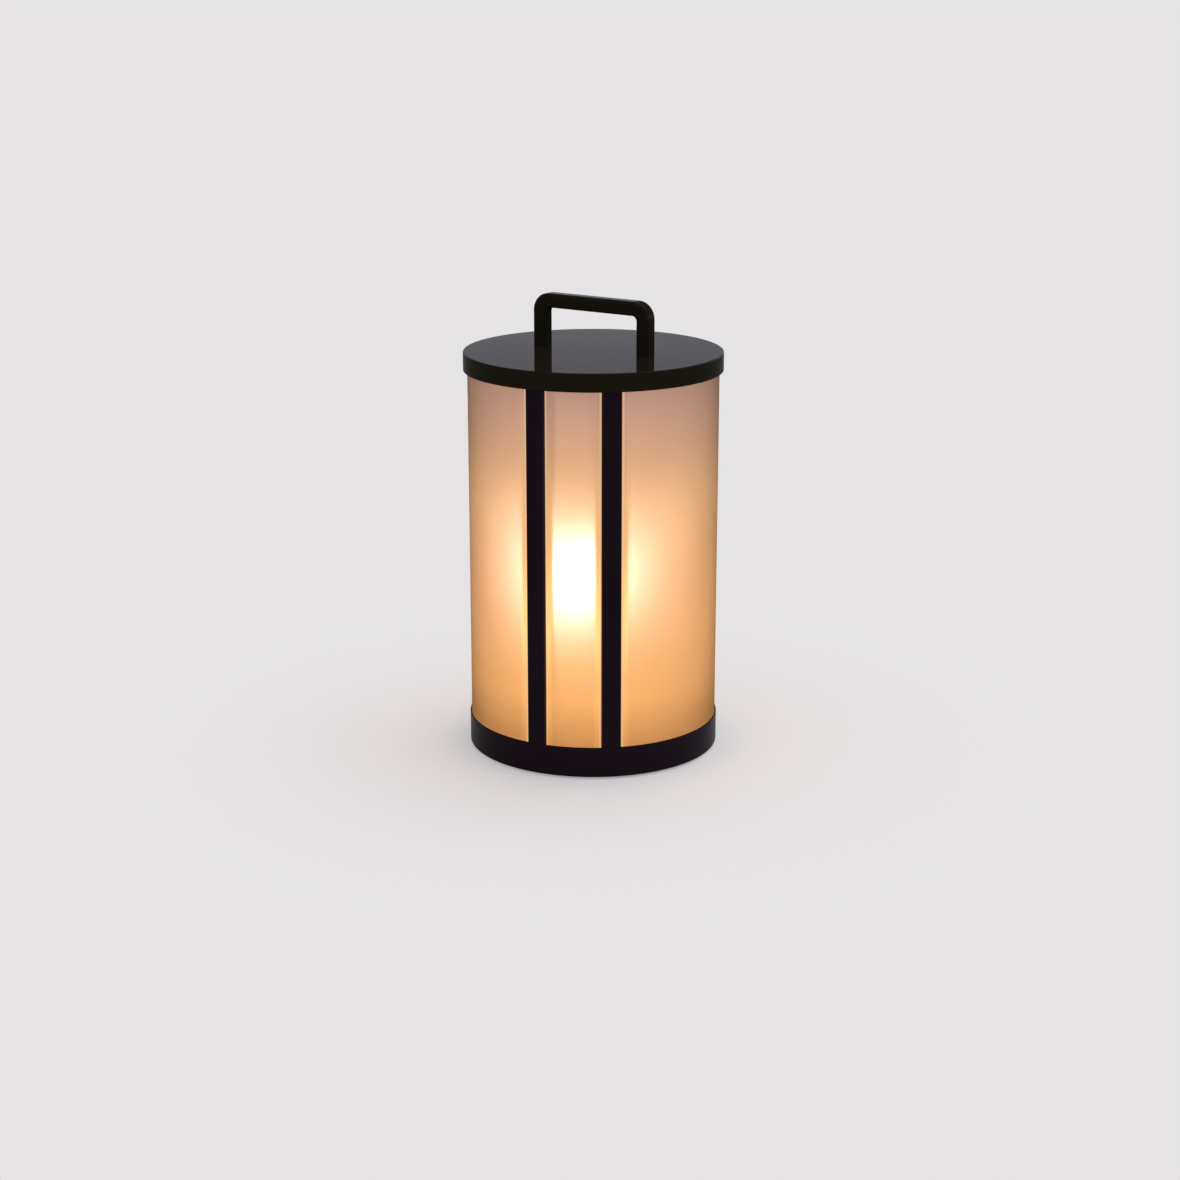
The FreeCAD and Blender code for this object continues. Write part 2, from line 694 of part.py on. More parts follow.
def build_base_fixings():
    """The feet and the screws that hold the plate and the lower ends of the posts."""
    feet = rods_round("foot", "sizes.foot_radius", "0", "sizes.foot_thickness", FOOT_CIRCLE, SQUARE)
    plate_screws = [
        flush_screw(f"plate_screw_{place}", "sizes.base_screw_length", *around(BOSS_CIRCLE, angle))
        for place, angle in enumerate(CORNERS)
    ]
    length = "(sizes.rim_thickness + sizes.post_screw_grip)"
    post_screws = [
        small_screw(f"lower_post_screw_{place}", length, *around(POST_SCREWS, angle), RIM_UNDER)
        for place, angle in enumerate(POSTS.values())
    ]
    node(group("foot_set", feet), "rubber_feet")
    node(group("plate_screw_set", plate_screws), "base_plate_screws")
    node(group("lower_post_screw_set", post_screws), "lower_post_screws")


# The cage.


def build_posts():
    """Four T-section posts: a bar flush with the base, and a flange that backs the panes."""
    bar_left, bar_right = astride("sizes.post_width")
    wing_left, wing_right = astride("sizes.flange_width")
    corners = [
        (FLANGE_INNER, wing_left), (FLANGE_OUTER, wing_left), (FLANGE_OUTER, bar_left),
        (POST_FACE, bar_left), (POST_FACE, bar_right), (FLANGE_OUTER, bar_right),
        (FLANGE_OUTER, wing_right), (FLANGE_INNER, wing_right),
    ]
    depth = "(sizes.post_screw_grip + sizes.tip_room)"
    for label, angle in POSTS.items():
        body = extruded(f"{label}_section", "XY_Plane", corners, "sizes.post_length")
        lower = rod(f"{label}_lower_hole", THREAD, "0", depth, POST_SCREWS)
        upper = rod(f"{label}_upper_hole", THREAD, f"(sizes.post_length - {depth})", "sizes.post_length",
                    POST_SCREWS)
        node(move(cut(f"{label}_drilled", body, [lower, upper]), z=DECK_TOP, turn=angle), label)


def build_panes():
    """Four curved panes of frosted glass with ground vertical edges."""
    corners = [
        (GLASS_INNER, PANE_BOTTOM), (GLASS_OUTER, PANE_BOTTOM),
        (GLASS_OUTER, PANE_TOP), (GLASS_INNER, PANE_TOP),
    ]
    for label, (middle, sweep) in PANES.items():
        body = turned(f"{label}_glass", corners, sweep)
        soften(body, "Chamfer", "sizes.glass_chamfer", lambda edge: runs_along(edge, UPRIGHT))
        node(move(body, turn=middle), label)


def build_strips():
    """The silicone strips between each pane's ends and its pockets."""
    for name, low, high in (("lower", POCKET_FLOOR, PANE_BOTTOM), ("upper", PANE_TOP, POCKET_ROOF)):
        strips = [
            sector(f"{name}_{pane}_strip", GLASS_INNER, GLASS_OUTER, low, high, middle, sweep)
            for pane, (middle, sweep) in PANES.items()
        ]
        node(group(f"{name}_strip_set", strips), f"{name}_glazing_strips")


def build_top_ring():
    """The ring on the posts: pane pockets below, three notches for the lugs, and two lug stops."""
    body = turned("ring_turning", [
        (RING_INNER, CAGE_TOP), ("sizes.base_radius", CAGE_TOP),
        ("sizes.base_radius", RING_TOP), (RING_INNER, RING_TOP),
    ])
    notch_outer = f"({LUG_OUTER} + sizes.pocket_play)"
    cuts = [
        *pane_pockets("upper", CAGE_TOP, POCKET_ROOF),
        *rods_round("ring_post_hole", CLEARANCE, CAGE_TOP, RING_TOP, POST_SCREWS, POSTS.values()),
    ]
    for place, angle in enumerate(THIRDS):
        cuts.append(sector(f"notch_{place}", LOCK_OUTER, notch_outer, CAGE_TOP, RING_TOP,
                           angle, f"2 * {HALF_NOTCH}"))
    shut = f"(-sizes.lid_turn - {HALF_NOTCH} - sizes.stop_sweep / 2)"
    opened = f"({HALF_NOTCH} + sizes.stop_sweep / 2)"
    stops = [
        sector(f"{name}_stop", f"({RING_INNER} + sizes.lock_play)", LUG_OUTER, LUG_BOTTOM,
               f"({CAGE_TOP} + sizes.lug_drop)", angle, "sizes.stop_sweep")
        for name, angle in (("shut", shut), ("open", opened))
    ]
    node(fuse("ring_with_stops", [cut("ring_cut", body, cuts), *stops]), "top_ring")


def build_ring_fixings():
    """The seal under the lid and the screws down into the posts."""
    node(tube("seal", SEAL_INNER, SEAL_OUTER, RING_TOP, SEAL_TOP), "lid_seal")
    length = "(sizes.ring_thickness + sizes.post_screw_grip)"
    screws = [
        small_screw(f"upper_post_screw_{place}", length, *around(POST_SCREWS, angle), RING_TOP, UPSIDE_DOWN)
        for place, angle in enumerate(POSTS.values())
    ]
    node(group("upper_post_screw_set", screws), "upper_post_screws")


# The lid and its handle.


def handle_feet():
    """The middles of the handle's two legs."""
    return [around(f"({sign}sizes.handle_span / 2)", "sizes.handle_turn") for sign in ("-", "")]


def build_lid():
    """The lid with its band, the studs welded under it and the holes for the handle's screws."""
    body = turned("lid_turning", [
        ("0", LID_UNDER), (LID_INNER, LID_UNDER), (LID_INNER, SKIRT_BOTTOM),
        (LID_OUTER, SKIRT_BOTTOM), (LID_OUTER, LID_TOP), ("0", LID_TOP),
    ])
    middle = number(LID_UNDER)
    soften(body, "Fillet", "sizes.lid_edge_round",
           lambda edge: is_rim(edge, number(LID_OUTER)) and edge.CenterOfMass.z > middle)
    stud_low = f"({LID_UNDER} - sizes.stud_length)"
    stud_high = f"({LID_UNDER} + sizes.lid_thickness / 2)"
    studs = rods_round("stud", "sizes.screw_radius", stud_low, stud_high, STUD_CIRCLE, THIRDS)
    holes = [
        rod(f"lid_hole_{place}", HANDLE_CLEARANCE, LID_UNDER, LID_TOP, x, y)
        for place, (x, y) in enumerate(handle_feet())
    ]
    node(cut("lid_drilled", fuse("lid_blank", [body, *studs]), holes), "lid_shell")


def build_lock_ring():
    """The ring under the lid, with its three lugs, and the nuts that hold it."""
    body = turned("lock_turning", [
        (LOCK_FLANGE, LOCK_UNDER), (LOCK_INNER, LOCK_UNDER), (LOCK_INNER, LUG_BOTTOM),
        (LOCK_OUTER, LUG_BOTTOM), (LOCK_OUTER, LID_UNDER), (LOCK_FLANGE, LID_UNDER),
    ])
    lug_inner = f"({LOCK_OUTER} - sizes.lock_wall / 2)"
    lugs = [
        sector(f"lug_{place}", lug_inner, LUG_OUTER, LUG_BOTTOM, LUG_TOP,
               f"({angle} - sizes.lid_turn)", "sizes.lug_sweep")
        for place, angle in enumerate(THIRDS)
    ]
    holes = rods_round("lock_hole", CLEARANCE, LOCK_UNDER, LID_UNDER, STUD_CIRCLE, THIRDS)
    node(cut("lock_drilled", fuse("lock_blank", [body, *lugs]), holes), "lock_ring")
    low = f"({LOCK_UNDER} - sizes.nut_height)"
    nuts = []
    for place, angle in enumerate(THIRDS):
        x, y = around(STUD_CIRCLE, angle)
        blank = hexagon(f"nut_blank_{place}", "sizes.nut_circumradius", low, LOCK_UNDER, x, y)
        bore = rod(f"nut_bore_{place}", THREAD, low, LOCK_UNDER, x, y)
        nuts.append(cut(f"nut_{place}", blank, [bore]))
    node(group("nut_set", nuts), "lock_ring_nuts")


def build_handle():
    """The square-bar handle: its bent corners, its rounded edges and its two screw holes."""
    outer_left, outer_right = astride("(sizes.handle_span + sizes.handle_bar)")
    inner_left, inner_right = astride("(sizes.handle_span - sizes.handle_bar)")
    under = "(sizes.handle_height - sizes.handle_bar)"
    body = extruded("handle_bent", "XZ_Plane", [
        (outer_left, "0"), (outer_left, "sizes.handle_height"), (outer_right, "sizes.handle_height"),
        (outer_right, "0"), (inner_right, "0"), (inner_right, under), (inner_left, under), (inner_left, "0"),
    ], "sizes.handle_bar", centred=True)
    across = Vector(0, 1, 0)
    for bend, height in (("sizes.handle_bend", "sizes.handle_height"), ("sizes.handle_inner_bend", under)):
        level = number(height)
        soften(body, "Fillet", bend,
               lambda edge: runs_along(edge, across) and abs(edge.CenterOfMass.z - level) < TINY)
    face = number("sizes.handle_bar / 2")
    soften(body, "Fillet", "sizes.handle_round",
           lambda edge: abs(abs(edge.CenterOfMass.y) - face) < TINY and edge.CenterOfMass.z > TINY)
    depth = "(sizes.handle_screw_length - sizes.lid_thickness - sizes.washer_thickness + sizes.tip_room)"
    holes = [
        rod(f"handle_hole_{place}", "sizes.handle_screw_radius + sizes.thread_play", "0", depth, x)
        for place, x in enumerate(astride("sizes.handle_span"))
    ]
    node(move(cut("handle_drilled", body, holes), z=LID_TOP, turn="sizes.handle_turn"), "handle")


def build_handle_fixings():
    """The washers under the lid and the screws up through it into the handle's legs."""
    low = f"({LID_UNDER} - sizes.washer_thickness)"
    washers = []
    screws = []
    for place, (x, y) in enumerate(handle_feet()):
        blank = rod(f"washer_blank_{place}", "sizes.washer_radius", low, LID_UNDER, x, y)
        bore = rod(f"washer_bore_{place}", HANDLE_CLEARANCE, low, LID_UNDER, x, y)
        washers.append(cut(f"washer_{place}", blank, [bore]))
        item = screw(f"handle_screw_{place}", "sizes.handle_screw_radius", "sizes.handle_screw_length",
                     "sizes.handle_head_radius", "sizes.handle_head_height")
        screws.append(move(item, x, y, low))
    node(group("washer_set", washers), "handle_washers")
    node(group("handle_screw_set", screws), "handle_screws")


# The light.


def build_column():
    """The tube that carries the lampholder, and its three screws into the deck."""
    flange_top = f"({DECK_TOP} + sizes.column_flange_thickness)"
    body = turned("column_turning", [
        (COLUMN_BORE, DECK_TOP), ("sizes.column_flange_radius", DECK_TOP),
        ("sizes.column_flange_radius", flange_top), ("sizes.column_radius", flange_top),
        ("sizes.column_radius", COLUMN_TOP), (COLUMN_BORE, COLUMN_TOP),
    ])
    holes = rods_round("flange_hole", CLEARANCE, DECK_TOP, flange_top, COLUMN_SCREWS, THIRDS)
    screws = [
        small_screw(f"column_screw_{place}", "sizes.column_screw_length", *around(COLUMN_SCREWS, angle),
                    flange_top, UPSIDE_DOWN)
        for place, angle in enumerate(THIRDS)
    ]
    node(cut("column_drilled", body, holes), "lamp_column")
    node(group("column_screw_set", screws), "column_screws")


def build_lampholder():
    """The lampholder, with a spigot in the column, and the contact in its floor."""
    wire = "sizes.wire_hole_radius"
    spigot = f"({COLUMN_BORE} - sizes.spigot_play)"
    spigot_low = f"({COLUMN_TOP} - sizes.spigot_length)"
    node(turned("holder_turning", [
        (wire, spigot_low), (spigot, spigot_low), (spigot, COLUMN_TOP), (HOLDER_OUTER, COLUMN_TOP),
        (HOLDER_OUTER, CAP_TOP), (HOLDER_BORE, CAP_TOP), (HOLDER_BORE, HOLDER_FLOOR), (wire, HOLDER_FLOOR),
    ]), "lampholder")
    node(rod("contact_disc", "sizes.contact_radius", HOLDER_FLOOR, CAP_BOTTOM), "centre_contact")


def build_bulb():
    """The bulb: cap, tapered neck, board with its emitters, and the opal globe over them."""
    tip_top = f"({CAP_BOTTOM} + sizes.cap_tip_height)"
    shoulder = f"({tip_top} + sizes.cap_cone_height)"
    node(turned("cap_turning", [
        ("0", CAP_BOTTOM), ("sizes.contact_radius", CAP_BOTTOM), ("sizes.contact_radius", tip_top),
        ("sizes.cap_radius", shoulder), ("sizes.cap_radius", CAP_TOP), ("0", CAP_TOP),
    ]), "bulb_cap")
    node(cone("neck_cone", "sizes.cap_radius", NECK_TOP, CAP_TOP, GLOBE_CUT), "bulb_neck")
    board_top = f"({GLOBE_CUT} + sizes.led_board_thickness)"
    node(rod("led_disc", LED_BOARD, GLOBE_CUT, board_top), "led_board")
    chips = []
    for place in range(LED_COUNT):
        chip = block(f"led_{place}", astride("sizes.led_size", LED_CIRCLE), astride("sizes.led_size"),
                     (board_top, f"({board_top} + sizes.led_height)"))
        chips.append(swing(f"led_spun_{place}", chip, f"{360 / LED_COUNT * place}"))
    node(group("led_set", chips), "led_chips")
    outer = bind(doc.addObject("Part::Sphere", "globe_outer"), Radius="sizes.globe_radius")
    inner = bind(doc.addObject("Part::Sphere", "globe_inner"), Radius=GLOBE_BORE)
    below = rod("globe_below", "2 * sizes.globe_radius", "(-2 * sizes.globe_radius)", "(-sizes.globe_cut)")
    node(move(cut("globe_dome", outer, [inner, below]), z=f"{GLOBE_CUT} + sizes.globe_cut"), "bulb_globe")


# The battery and its driver.


def build_battery():
    """Three lithium cells lying in a moulded cradle on the base plate."""
    cells = []
    troughs = []
    trough_length = "(sizes.cell_length + 2 * sizes.cradle_play)"
    pitch = "(2 * sizes.cell_radius + sizes.cell_gap)"
    first = "(-sizes.cell_reach - sizes.cell_radius)"
    for place in range(CELL_COUNT):
        y = f"({first} - {place} * {pitch})"
        cells.append(roller(f"cell_{place}", "sizes.cell_radius", "sizes.cell_length", y, CELL_AXIS))
        troughs.append(roller(f"trough_{place}", "sizes.cell_radius + sizes.cradle_play", trough_length,
                              y, CELL_AXIS))
    reach = "(sizes.cell_radius + sizes.cradle_margin)"
    front = f"({first} - {CELL_COUNT - 1} * {pitch} - {reach})"
    blank = block("cradle_blank", astride(f"({trough_length} + 2 * sizes.cradle_margin)"),
                  (front, f"({first} + {reach})"), (PLATE_TOP, f"({PLATE_TOP} + sizes.cradle_height)"))
    node(group("cell_set", cells), "battery_cells")
    node(cut("cradle_cut", blank, troughs), "battery_cradle")


def build_driver():
    """The driver board on its pillars, and its four screws."""
    bore = "sizes.board_screw_radius + sizes.thread_play"
    holes = []
    screws = []
    for place, (x, y) in enumerate(board_corners()):
        holes.append(rod(f"board_hole_{place}", bore, BOARD_UNDER, BOARD_TOP, x, y))
        item = screw(f"board_screw_{place}", "sizes.board_screw_radius", "sizes.board_screw_length",
                     "sizes.board_head_radius", "sizes.head_height")
        screws.append(move(item, x, y, BOARD_TOP, rotation=UPSIDE_DOWN))
    blank = block("board_blank", astride("sizes.board_width"), (BOARD_NEAR, BOARD_FAR),
                  (BOARD_UNDER, BOARD_TOP))
    node(cut("board_drilled", blank, holes), "driver_board")
    node(group("board_screw_set", screws), "board_screws")


def on_board(name, x, row, width, depth, height):
    """A block soldered to the board, centred on x, its near side a row's distance from the near edge."""
    near = f"({BOARD_NEAR} + {row})"
    top = f"({BOARD_TOP} + {height})"
    return block(name, astride(width, x), (near, f"({near} + {depth})"), (BOARD_TOP, top))


def build_components():
    """Coil, two capacitors, two control chips and three connectors on the driver board."""
    coil = ("sizes.chip_row", "sizes.coil_size", "sizes.coil_size", "sizes.coil_height")
    chip = ("sizes.chip_row", "sizes.chip_size", "sizes.chip_size", "sizes.chip_height")
    plug = ("0", "sizes.plug_width", "sizes.plug_depth", "sizes.plug_height")
    beside = "(sizes.coil_size / 2 + sizes.chip_size)"
    edge = "(sizes.plug_depth / 2 - sizes.board_width / 2)"
    parts = [
        on_board("power_coil", "0", *coil),
        on_board("charge_control", beside, *chip),
        on_board("light_control", f"(-{beside})", *chip),
        on_board("lamp_plug", "0", *plug),
        on_board("battery_plug", "sizes.battery_plug_side", *plug),
        on_board("switch_plug", edge, "(sizes.switch_plug_row - sizes.plug_width / 2)",
                 "sizes.plug_depth", "sizes.plug_width", "sizes.plug_height"),
    ]
    can_top = f"({BOARD_TOP} + sizes.capacitor_height)"
    can_row = f"({BOARD_NEAR} + sizes.capacitor_row)"
    for place, x in enumerate((f"(-{beside})", beside)):
        parts.append(rod(f"capacitor_{place}", "sizes.capacitor_radius", BOARD_TOP, can_top, x, can_row))
    node(group("component_set", parts), "board_components")


def build_socket():
    """The charging socket: a thin shell with its tongue, at the board's far edge."""
    near = f"({SOCKET_MOUTH} - sizes.socket_depth)"
    wall = "sizes.socket_wall"
    top = f"({BOARD_TOP} + sizes.socket_height)"
    shell = block("socket_blank", astride("sizes.socket_width"), (near, SOCKET_MOUTH), (BOARD_TOP, top))
    mouth = block("socket_mouth", astride(f"(sizes.socket_width - 2 * {wall})"),
                  (f"({near} + {wall})", SOCKET_MOUTH), (f"({BOARD_TOP} + {wall})", f"({top} - {wall})"))
    tongue = block("socket_tongue", astride("(sizes.socket_width / 2)"),
                   (near, f"({SOCKET_MOUTH} - 2 * {wall})"), astride(f"(2 * {wall})", PORT_AXIS))
    node(fuse("socket", [cut("socket_shell", shell, [mouth]), tongue]), "charging_socket")


# The pieces at the rear that a user touches.


def build_flap():
    """The hinged cover of the charging port, and the steel pin it swings on."""
    shoulder = f"({HINGE_AXIS} + sizes.knuckle_radius + 3 * sizes.flap_play)"
    room = (f"({FLAP_INNER} - sizes.knuckle_length)", "sizes.base_radius")
    skin = tube("flap_skin", FLAP_INNER, FLAP_OUTER, f"({HINGE_AXIS} - sizes.knuckle_radius)", FLAP_TOP)
    plate = fuse("flap_outline", [
        block("flap_upper", astride("sizes.flap_width"), room, (shoulder, FLAP_TOP)),
        block("flap_lower", astride("sizes.knuckle_length"), room, (HINGE_AXIS, shoulder)),
    ])
    knuckle = roller("knuckle", "sizes.knuckle_radius", "sizes.knuckle_length", HINGE_REACH, HINGE_AXIS)
    bore = roller("knuckle_bore", "sizes.flap_pin_radius + sizes.pin_play", "2 * sizes.knuckle_length",
                  HINGE_REACH, HINGE_AXIS)
    solid = fuse("flap_blank", [common("flap_plate", [skin, plate]), knuckle])
    node(cut("flap_bored", solid, [bore]), "port_flap")
    node(roller("flap_axle", "sizes.flap_pin_radius", "(sizes.knuckle_length + 2 * sizes.flap_pin_grip)",
                HINGE_REACH, HINGE_AXIS), "flap_pin")


def build_button():
    """The power button: a cap with a rounded face, a collar that keeps it in, and a stem."""
    cap = peg("button_cap", "sizes.button_radius", BUTTON_BACK, BUTTON_FACE, BUTTON_AXIS)
    doc.recompute()
    rounded = doc.addObject("Part::Fillet", "button_rounded")
    rounded.Base = cap
    face = number(BUTTON_FACE)
    rim = next(place for place, edge in enumerate(cap.Shape.Edges, start=1)
               if isinstance(edge.Curve, Part.Circle) and abs(edge.CenterOfMass.y - face) < TINY)
    rounded.Edges = [(rim, number("sizes.button_round"), number("sizes.button_round"))]
    collar = peg("button_collar", COLLAR_RADIUS, COLLAR_BACK, COLLAR_FACE, BUTTON_AXIS)
    stem = peg("button_stem", "sizes.stem_radius", STEM_END, COLLAR_FACE, BUTTON_AXIS)
    node(move(fuse("button", [rounded, collar, stem]), turn="sizes.button_angle"), "power_button")


def build_switch():
    """The switch behind the button: plunger, case and the small board on the plate's tab."""
    turn = "sizes.button_angle"
    plunger = peg("plunger_peg", "sizes.stem_radius", PLUNGER_END, STEM_END, BUTTON_AXIS)
    node(swing("plunger", plunger, turn), "switch_plunger")
    case = block("switch_blank", astride("sizes.switch_size"), (SWITCH_BACK, SWITCH_FACE),
                 astride("sizes.switch_size", BUTTON_AXIS))
    well = peg("switch_well", "sizes.stem_radius + sizes.plunger_play", WELL_END, SWITCH_FACE, BUTTON_AXIS)
    node(move(cut("switch", case, [well]), turn=turn), "switch_body")
    card = block("switch_card", astride("sizes.switch_board_width"), (CARD_BACK, SWITCH_BACK),
                 (PLATE_TOP, f"({PLATE_TOP} + sizes.switch_board_height)"))
    node(swing("switch_card_turned", card, turn), "switch_board")


# The internal wires.


def lead(points, radius):
    """A round wire along straight runs joined by tangent arcs."""
    edges = []
    start = points[0]
    for before, corner, after in zip(points, points[1:], points[2:]):
        into = corner - before
        away = after - corner
        reach = min(number("sizes.wire_bend"), BEND_SHARE * min(into.Length, away.Length))
        into.normalize()
        away.normalize()
        first = corner - into * reach
        last = corner + away * reach
        inward = away - into
        bend = (last - first).Length / inward.Length
        sagitta = bend * (1 / math.cos(into.getAngle(away) / 2) - 1)
        inward.normalize()
        edges.append(Part.LineSegment(start, first).toShape())
        edges.append(Part.Arc(first, corner + inward * sagitta, last).toShape())
        start = last
    edges.append(Part.LineSegment(start, points[-1]).toShape())
    section = Part.Wire([Part.Circle(points[0], points[1] - points[0], radius).toShape()])
    return Part.Wire(edges).makePipeShell([section], True, False)


def lead_routes(side):
    """The routes of one wire of each pair: lamp, battery and switch."""
    apart = side * number("sizes.wire_pitch / 2")
    near = number(BOARD_NEAR)
    edge = -number("sizes.board_width / 2")
    straight = number("sizes.wire_straight")
    level = number(f"({BOARD_TOP} + sizes.plug_height / 2)")
    cradle = number(f"({PLATE_TOP} + sizes.cradle_height / 2)")
    cradle_rear = number("(sizes.cradle_margin - sizes.cell_reach)")
    battery_side = number("sizes.battery_wire_side")
    battery_plug = number("sizes.battery_plug_side") + apart
    row = near + number("sizes.switch_plug_row") + apart
    over_tab = number(f"({PLATE_TOP} + sizes.tab_height + sizes.wire_radius + sizes.pin_play)")
    card = number(CARD_BACK)
    turn = Rotation(UPRIGHT, number("sizes.button_angle"))
    lamp = [Vector(apart, near, level), Vector(apart, 0, level), Vector(apart, 0, number(HOLDER_FLOOR))]
    battery = [
        Vector(battery_side + apart, cradle_rear, cradle), Vector(battery_side + apart, near / 3, cradle),
        Vector(battery_plug, 2 * near / 3, level), Vector(battery_plug, near, level),
    ]
    switch = [
        turn.multVec(Vector(-apart, card, over_tab)), turn.multVec(Vector(-apart, card - straight, over_tab)),
        Vector(edge - straight, row, level), Vector(edge, row, level),
    ]
    return {"lamp_leads": lamp, "battery_leads": battery, "switch_leads": switch}


def build_leads():
    """The internal wires: driver to lampholder, battery to driver, and switch to driver."""
    radius = number("sizes.wire_radius")
    left, right = lead_routes(-1), lead_routes(1)
    for label in left:
        item = doc.addObject("Part::Feature", f"{label}_wires")
        item.Shape = Part.makeCompound([lead(left[label], radius), lead(right[label], radius)])
        node(item, label)


def check(items):
    """Stop if any object failed or any sub-part isn't sound."""
    for item in doc.Objects:
        if "Invalid" in item.State or "Error" in item.State:
            raise RuntimeError(f"{item.Name} failed: {item.State}")
    for item in items:
        if item.Shape.isNull() or not item.Shape.isValid():
            raise RuntimeError(f"{item.Label} has no sound shape")


def export(items):
    """Write one STEP file for each sub-part."""
    os.makedirs("parts", exist_ok=True)
    for item in items:
        item.Shape.exportStep(f"parts/{item.Label}.step")


def main():
    """Build the lamp from the base up, check it and write its sub-parts."""
    fill_sheet()
    build_base_shell()
    build_base_plate()
    build_base_fixings()
    build_posts()
    build_panes()
    build_strips()
    build_top_ring()
    build_ring_fixings()
    build_lid()
    build_lock_ring()
    build_handle()
    build_handle_fixings()
    build_column()
    build_lampholder()
    build_bulb()
    build_battery()
    build_driver()
    build_components()
    build_socket()
    build_flap()
    build_button()
    build_switch()
    build_leads()
    doc.recompute()
    check(nodes)
    export(nodes)


main()
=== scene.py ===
"""Dresses the lantern table lamp: gloss lid and handle, frosted panes lit from inside with a painted glow,
enamelled base.
"""
import logging
import math
from dataclasses import dataclass
from enum import Enum
from typing import Sequence, Union

import bpy
from mathutils import Matrix, Vector


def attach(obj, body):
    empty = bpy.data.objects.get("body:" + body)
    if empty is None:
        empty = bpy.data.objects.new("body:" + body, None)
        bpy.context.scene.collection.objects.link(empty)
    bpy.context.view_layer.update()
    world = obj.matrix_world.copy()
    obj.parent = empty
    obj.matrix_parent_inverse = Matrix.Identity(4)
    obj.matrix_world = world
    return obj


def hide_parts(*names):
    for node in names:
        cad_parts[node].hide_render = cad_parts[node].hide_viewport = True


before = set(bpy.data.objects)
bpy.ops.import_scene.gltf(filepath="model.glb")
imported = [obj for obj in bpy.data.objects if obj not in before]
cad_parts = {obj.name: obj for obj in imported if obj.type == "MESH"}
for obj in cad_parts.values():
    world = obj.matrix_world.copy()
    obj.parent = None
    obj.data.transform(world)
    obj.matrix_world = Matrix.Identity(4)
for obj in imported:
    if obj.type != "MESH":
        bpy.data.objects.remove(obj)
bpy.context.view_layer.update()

LOG = logging.getLogger("lantern")
MM = 0.001

Colour = tuple[float, float, float]
Ring = tuple[float, float]
Value = Union[float, Sequence[float], bpy.types.NodeSocket]

# The parts of a noise's range that patterns are read over, and the range from nothing to all.
MIDDLE: Ring = (0.3, 0.7)
WIDE: Ring = (0.2, 0.8)
UNIT: Ring = (0.0, 1.0)


class Body(Enum):
    """The bodies of the lamp that carry new pieces."""

    ROOT = "root"
    LID = "lid"
    BUTTON = "button"


class Slot(Enum):
    """The record's material slots."""

    GLOSS_BLACK = "gloss_black"
    BLACK_ENAMEL = "black_enamel"
    FROSTED_GLASS = "frosted_glass"
    SILICONE = "silicone"
    FOOT_RUBBER = "foot_rubber"
    ZINC_STEEL = "zinc_steel"
    DARK_SCREWS = "dark_screws"
    WHITE_ENAMEL = "white_enamel"
    WHITE_MOULDING = "white_moulding"
    BRASS = "brass"
    NICKEL = "nickel"
    ALUMINIUM_BOARD = "aluminium_board"
    LED_YELLOW = "led_yellow"
    OPAL_DIFFUSER = "opal_diffuser"
    CELL_WRAP = "cell_wrap"
    BLACK_MOULDING = "black_moulding"
    CIRCUIT_BOARD = "circuit_board"
    COMPONENT_BLACK = "component_black"
    FLAP_RUBBER = "flap_rubber"
    BUTTON_PLASTIC = "button_plastic"
    WIRE_INSULATION = "wire_insulation"


class Grain(Enum):
    """How the fine relief of a surface runs."""

    PEEL = (1.0, 1.0, 1.0)
    TURNED = (1.0, 1.0, 24.0)
    BRUSHED = (1.0, 24.0, 24.0)


